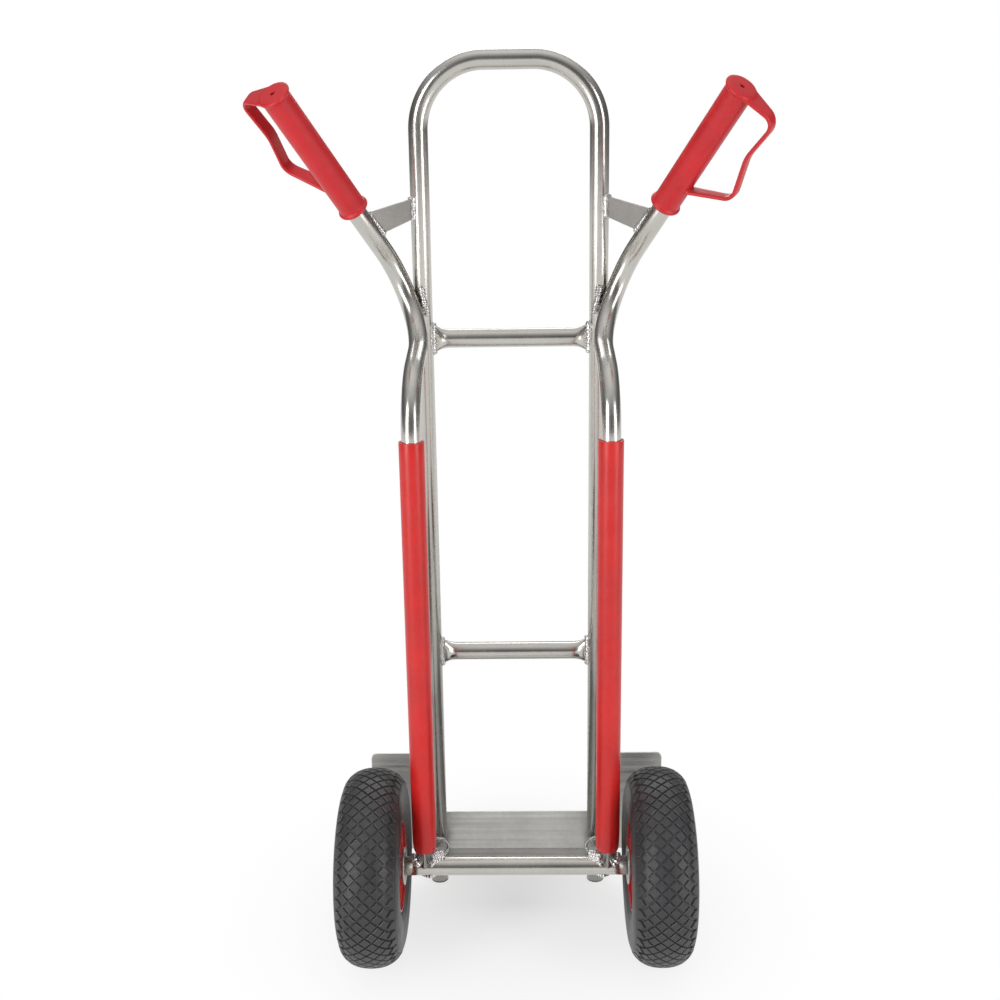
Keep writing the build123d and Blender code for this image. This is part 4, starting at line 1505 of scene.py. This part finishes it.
# ------------------------------------------------------------------ wheels
@dataclass
class WheelWork:
    """Tyres with a diamond tread and pressed rims with a rolled lip."""

    finishes: Finishes
    tree: bpy.types.NodeTree = field(default_factory=tread_tree)
    widest_r: float = 92 * MM
    crown_power: float = 2.3
    bead: tuple = (34.5 * MM, 61 * MM)
    groove: float = 2.4 * MM
    tread_half: float = 43 * MM
    tread_fade: float = 4 * MM
    wall: float = 5 * MM
    around: int = 46
    rows: int = 7
    row_step: float = 9 * MM
    gap: float = 2.1 * MM
    edge: float = 0.8 * MM
    lug: tuple = (31.2 * MM, 44 * MM)
    lug_gap: float = 4.2 * MM
    rings: tuple = (83 * MM, 72 * MM)
    ring_rise: float = 0.7 * MM
    ring_width: float = 0.9 * MM
    rim_sheet: float = 2 * MM
    disc_x: float = 1.1 * MM
    disc_r: float = 41.5 * MM
    well: tuple = (9 * MM, 50 * MM)
    seat_x: float = 31 * MM
    lip: tuple = (36.5 * MM, 59.4 * MM)
    lip_curl: float = 2.2 * MM
    rim_bends: tuple = (4 * MM, 5 * MM, 3 * MM, 2 * MM, 1.05 * MM)
    made_blocks: list = field(default_factory=list)

    def section(self, steps: int = 40) -> list[Vector]:
        """Outer section over the tops of the blocks, from bead to bead, as (x, 0, radius)."""
        crown, wide = PLACE.wheel_r - self.widest_r, PLACE.wheel_half
        right = []
        for i in range(steps + 1):
            turn = math.pi / 2 * i / steps
            x = wide * math.sin(turn) ** (2 / self.crown_power)
            right.append(Vector((x, 0, self.widest_r + crown * math.cos(turn) ** (2 / self.crown_power))))
        bead_x, bead_r = self.bead
        for i in range(1, steps // 2 + 1):
            turn = math.pi / 2 * i / (steps // 2)
            right.append(Vector((bead_x + (wide - bead_x) * math.cos(turn), 0,
                                 self.widest_r - (self.widest_r - bead_r) * math.sin(turn))))
        return [Vector((-p.x, 0, p.z)) for p in reversed(right[1:])] + right

    def casing_outline(self) -> list[tuple]:
        """Closed section of the casing, lowered below the tread blocks."""
        top = self.section()
        run, lengths = 0.0, [0.0]
        for a, b in zip(top, top[1:]):
            run += (b - a).length
            lengths.append(run)
        outer, inner = [], []
        for i, p in enumerate(top):
            ahead = (top[min(i + 1, len(top) - 1)] - top[max(i - 1, 0)]).normalized()
            normal = Vector((-ahead.z, 0, ahead.x))
            from_crown = abs(lengths[i] - run / 2)
            share = min(max((self.tread_half + self.tread_fade - from_crown) / self.tread_fade, 0.0), 1.0)
            ridge = sum(self.ring_rise * math.exp(-((p.z - r) / self.ring_width) ** 2) for r in self.rings
                        if from_crown > self.tread_half)
            skin = p - normal * (self.groove * share) + normal * (ridge - self.ring_rise * (1 - share))
            core = p - normal * self.wall
            outer.append((skin.x, skin.z))
            inner.append((core.x, max(core.z, self.bead[1])))
        return outer + list(reversed(inner))

    def block(self, name: str, outline: Sequence[tuple]) -> bpy.types.Object:
        """Flat tread block with chamfered edges from its outline at the top."""
        count = len(outline)
        middle = Vector((sum(p[0] for p in outline) / count, sum(p[1] for p in outline) / count, 0))
        line = [Vector((x, y, 0)) for x, y in outline]
        ring = [p for a, b in zip(line, line[1:] + line[:1]) for p in (a, a.lerp(b, 0.5))]
        top = [p + (middle - p).normalized() * self.edge for p in ring]
        edge = [p - Vector((0, 0, self.edge)) for p in ring]
        foot = [middle + (p - middle) * 1.04 - Vector((0, 0, self.groove + self.edge)) for p in ring]
        points, n = [middle] + top + edge + foot, len(ring)
        faces = [(0, 1 + (i - 1) % n, 1 + i, 1 + (i + 1) % n) for i in range(0, n, 2)]
        for level in (0, 1):
            a, b = 1 + level * n, 1 + (level + 1) * n
            faces += [(a + i, a + (i + 1) % n, b + (i + 1) % n, b + i) for i in range(n)]
        faces.append(tuple(1 + 2 * n + i for i in range(n)))
        block = mesh_from(name, points, faces)
        set_sharp(block, 30)
        self.made_blocks.append(block)
        return block

    def diamond(self) -> bpy.types.Object:
        """Block of the running band."""
        pitch = 2 * math.pi * PLACE.wheel_r / self.around
        inset = self.gap / math.sqrt(2)
        across, along = self.row_step - inset, pitch / 2 - inset
        return self.block("diamond_block", [(across, 0), (0, along), (-across, 0), (0, -along)])

    def shoulder_lug(self) -> bpy.types.Object:
        """Lug that fills the band's toothed edge and runs over the shoulder."""
        pitch = 2 * math.pi * PLACE.wheel_r / self.around
        low, high = self.lug
        middle = (low + high) / 2
        along = (pitch - self.lug_gap) / 2
        outline = [(low - middle, 0), (low - middle + along, along), (high - middle, along * 0.92),
                   (high - middle, -along * 0.92), (low - middle + along, -along)]
        return self.block("shoulder_lug", list(reversed(outline)))

    def tyre(self, side: Side, hub: Vector) -> bpy.types.Object:
        """Casing with its tread, as one piece."""
        casing = lathe(f"{side.word}_tyre_casing", self.casing_outline(), hub, Vector((1, 0, 0)), 184)
        set_sharp(casing, 45)
        casing.data.materials.append(self.finishes.tyre)
        work = bmesh.new()
        work.from_mesh(casing.data)
        low, high = self.lug
        bands = ((self.diamond(), self.rows, self.row_step, 0.5, 0.0),
                 (self.shoulder_lug(), 2, low + high, 0.0, 0.5))
        for block, rows, step, stagger, start in bands:
            curve = curve_object("tyre_section", self.section())
            tread = run_tree(curve, self.tree, "tread", {
                "Block": block, "Around": self.around, "Rows": rows, "Row Step": step,
                "Stagger": stagger, "Start": start, "Radius": PLACE.wheel_r, "Hub": hub,
                "Material": self.finishes.tyre})
            work.from_mesh(tread.data)
            bpy.data.objects.remove(tread)
        work.to_mesh(casing.data)
        work.free()
        return casing

    def rim_half(self, side: Side, hub: Vector, outward: int) -> bpy.types.Object:
        """Pressed dish with a rolled lip, from the hub out to the bead."""
        word = "outer" if outward > 0 else "inner"
        hub_r = extent(f"{side.word}_hub_tube").z / 2 + 0.2 * MM
        corners = [(self.disc_x, hub_r), (self.disc_x, self.disc_r), self.well, (self.seat_x, self.well[1]),
                   (self.seat_x, self.lip[1]), self.lip, (self.lip[0], self.lip[1] - self.lip_curl)]
        path = rounded_path([Vector((x, 0, r)) for x, r in corners], self.rim_bends, 8)
        left, right = [], []
        for i, p in enumerate(path):
            ahead = (path[min(i + 1, len(path) - 1)] - path[max(i - 1, 0)]).normalized()
            normal = Vector((-ahead.z, 0, ahead.x)) * self.rim_sheet / 2
            left.append(p + normal)
            right.append(p - normal)
        outline = [(p.x, p.z) for p in left + list(reversed(right))]
        axis = Vector((side.value * outward, 0, 0))
        rim = lathe(f"{side.word}_{word}_rim_dish", outline, hub, axis, 128)
        set_sharp(rim, 50)
        rim.data.materials.append(self.finishes.rim)
        return rim

    def build(self) -> None:
        """Dress both wheels."""
        for side in Side:
            hub = Vector((side.value * PLACE.wheel_x, PLACE.axle.y, PLACE.axle.z))
            body = Body.LEFT_WHEEL if side is Side.LEFT else Body.RIGHT_WHEEL
            hand_over(self.tyre(side, hub), body, "tyre_rubber", f"{side.word}_tyre")
            for outward, word in ((1, "outer"), (-1, "inner")):
                rim = self.rim_half(side, hub, outward)
                hand_over(rim, body, "rim_paint", f"{side.word}_rim_{word}_half")
        for block in self.made_blocks:
            bpy.data.objects.remove(block)


def paint_carried_nodes(finishes: Finishes) -> None:
    """Give every CAD node that stays in view its finish."""
    both = {"inner_washer": finishes.zinc, "outer_washer": finishes.zinc, "cotter_pin": finishes.rod,
            "hub_tube": finishes.zinc, "wheel_bearings": finishes.bearing,
            "rim_bolts": finishes.zinc, "rim_nuts": finishes.zinc, "valve": finishes.rubber,
            "inner_tube": finishes.rubber}
    for side in Side:
        for node, material in both.items():
            paint_node(f"{side.word}_{node}", material)
    paint_node("axle_rod", finishes.rod)
    paint_node("loop_end_plugs", finishes.plug)


# ------------------------------------------------------------------ studio
@dataclass
class Studio:
    """Pale floor, soft lights and the camera."""

    camera_place: Vector = field(default_factory=lambda: Vector((0.0154, PLACE.axle.y - 1.4902, 1.0381)))
    pitch: float = 0.2611
    yaw: float = -0.0201
    roll: float = -0.0147
    focal: float = 44.72
    horizon: tuple = ((0.44, 0.42), (0.5, 0.17), (0.6, 0.12), (0.74, 0.22), (0.9, 0.65))
    floor_half: float = 12.0
    floor_tone: float = 0.78
    fade: tuple = (-0.5, 0.5)
    lights: tuple = (("key", (-1.7, -1.9, 1.25), (0, 0, 0.8), (0.9, 2.4), 38),
                     ("fill", (2.0, -1.7, 1.15), (0, 0, 0.75), (0.7, 2.2), 26),
                     ("back", (0.0, 2.4, 2.4), (0, 0, 0.7), (2.4, 0.9), 22))

    def build_camera(self) -> None:
        """Camera behind the truck at a user's eye height."""
        data = bpy.data.cameras.new("camera")
        data.lens, data.sensor_width = self.focal, 36.0
        camera = bpy.data.objects.new("camera", data)
        bpy.context.scene.collection.objects.link(camera)
        level = Vector((math.cos(self.yaw), -math.sin(self.yaw), 0))
        forward = Vector((math.sin(self.yaw), math.cos(self.yaw), 0))
        up = Vector((0, 0, 1))
        view = forward * math.cos(self.pitch) - up * math.sin(self.pitch)
        top = forward * math.sin(self.pitch) + up * math.cos(self.pitch)
        right = level * math.cos(self.roll) + top * math.sin(self.roll)
        head = right.cross(view)
        turn = Matrix((right, head, -view)).transposed().to_4x4()
        camera.matrix_world = Matrix.Translation(self.camera_place) @ turn
        bpy.context.scene.camera = camera

    def area(self, name: str, place: tuple, target: tuple, size: tuple, power: float) -> None:
        """Soft rectangular light that looks at a point."""
        data = bpy.data.lights.new(name, "AREA")
        data.shape, data.size, data.size_y, data.energy = "RECTANGLE", *size, power
        light = bpy.data.objects.new(name, data)
        bpy.context.scene.collection.objects.link(light)
        light.location = place
        light.rotation_euler = (Vector(target) - Vector(place)).to_track_quat("-Z", "Y").to_euler()

    def build_world(self) -> None:
        """Even pale surround with a darker band near the horizon."""
        world = bpy.data.worlds.new("studio")
        bpy.context.scene.world = world
        world.use_nodes = True
        nodes = NodeTree(world.node_tree)
        background = world.node_tree.nodes["Background"]
        where = nodes.add("ShaderNodeTexCoord").outputs["Generated"]
        part = nodes.add("ShaderNodeSeparateXYZ", {0: where})
        ramp = nodes.add("ShaderNodeValToRGB", {0: nodes.add("ShaderNodeMapRange", {
            0: part.outputs[2], 1: -1.0, 2: 1.0}).outputs[0]})
        stops = ramp.color_ramp.elements
        stops[0].position, stops[0].color = 0.0, (0.9, 0.9, 0.9, 1)
        stops[1].position, stops[1].color = 1.0, (1, 1, 1, 1)
        for position, tone in self.horizon:
            stop = stops.new(position)
            stop.color = (tone, tone, tone * 1.01, 1)
        seen = nodes.add("ShaderNodeLightPath").outputs["Is Camera Ray"]
        mix = nodes.add("ShaderNodeMix", data_type="RGBA")
        nodes.tree.links.new(seen, mix.inputs[0])
        nodes.tree.links.new(ramp.outputs[0], mix.inputs[6])
        mix.inputs[7].default_value = (1, 1, 1, 1)
        nodes.tree.links.new(mix.outputs[2], background.inputs[0])
        background.inputs[1].default_value = 1.0

    def build_floor(self) -> None:
        """Large pale floor that fades to white away from the truck."""
        size = self.floor_half
        floor = mesh_from("floor", [(-size, -size, 0), (size, -size, 0), (size, size, 0), (-size, size, 0)],
                          [(0, 1, 2, 3)], smooth=False)
        nodes = MaterialNodes("floor_paper")
        nodes.set("Base Color", (self.floor_tone, self.floor_tone, self.floor_tone, 1))
        nodes.set("Roughness", 0.9)
        away = nodes.vector("LENGTH", nodes.place, output="Value")
        fade = nodes.add("ShaderNodeMapRange", {0: away, 1: self.fade[0], 2: self.fade[1]},
                         interpolation_type="SMOOTHSTEP").outputs[0]
        path = nodes.add("ShaderNodeLightPath").outputs
        sharp_ray = nodes.math("MAXIMUM", path["Is Camera Ray"], path["Is Glossy Ray"])
        seen = nodes.math("MULTIPLY", fade, sharp_ray)
        white = nodes.add("ShaderNodeEmission", {"Color": (1, 1, 1, 1), "Strength": 1.0})
        mix = nodes.add("ShaderNodeMixShader", {0: seen, 1: nodes.shader.outputs[0], 2: white.outputs[0]})
        nodes.tree.links.new(mix.outputs[0], nodes.tree.nodes["Material Output"].inputs[0])
        floor.data.materials.append(nodes.material)

    def build(self) -> None:
        """Build the studio."""
        self.build_camera()
        self.build_world()
        self.build_floor()
        for name, place, target, size, power in self.lights:
            self.area(name, place, target, size, power)
        bpy.context.scene.view_settings.view_transform = "Standard"


def main() -> None:
    """Build every sub-assembly in order."""
    logging.basicConfig(level=logging.INFO, format="%(name)s %(message)s")
    Studio().build()
    finishes = Finishes()
    tubes = TubeWork(finishes)
    tubes.build()
    braces = BraceWork(tubes, finishes)
    braces.build()
    PlateWork(finishes).build()
    WeldWork(tubes, finishes).build(braces)
    PlasticWork(tubes, finishes).build()
    WheelWork(finishes).build()
    paint_carried_nodes(finishes)


if __name__ == "__main__":
    main()
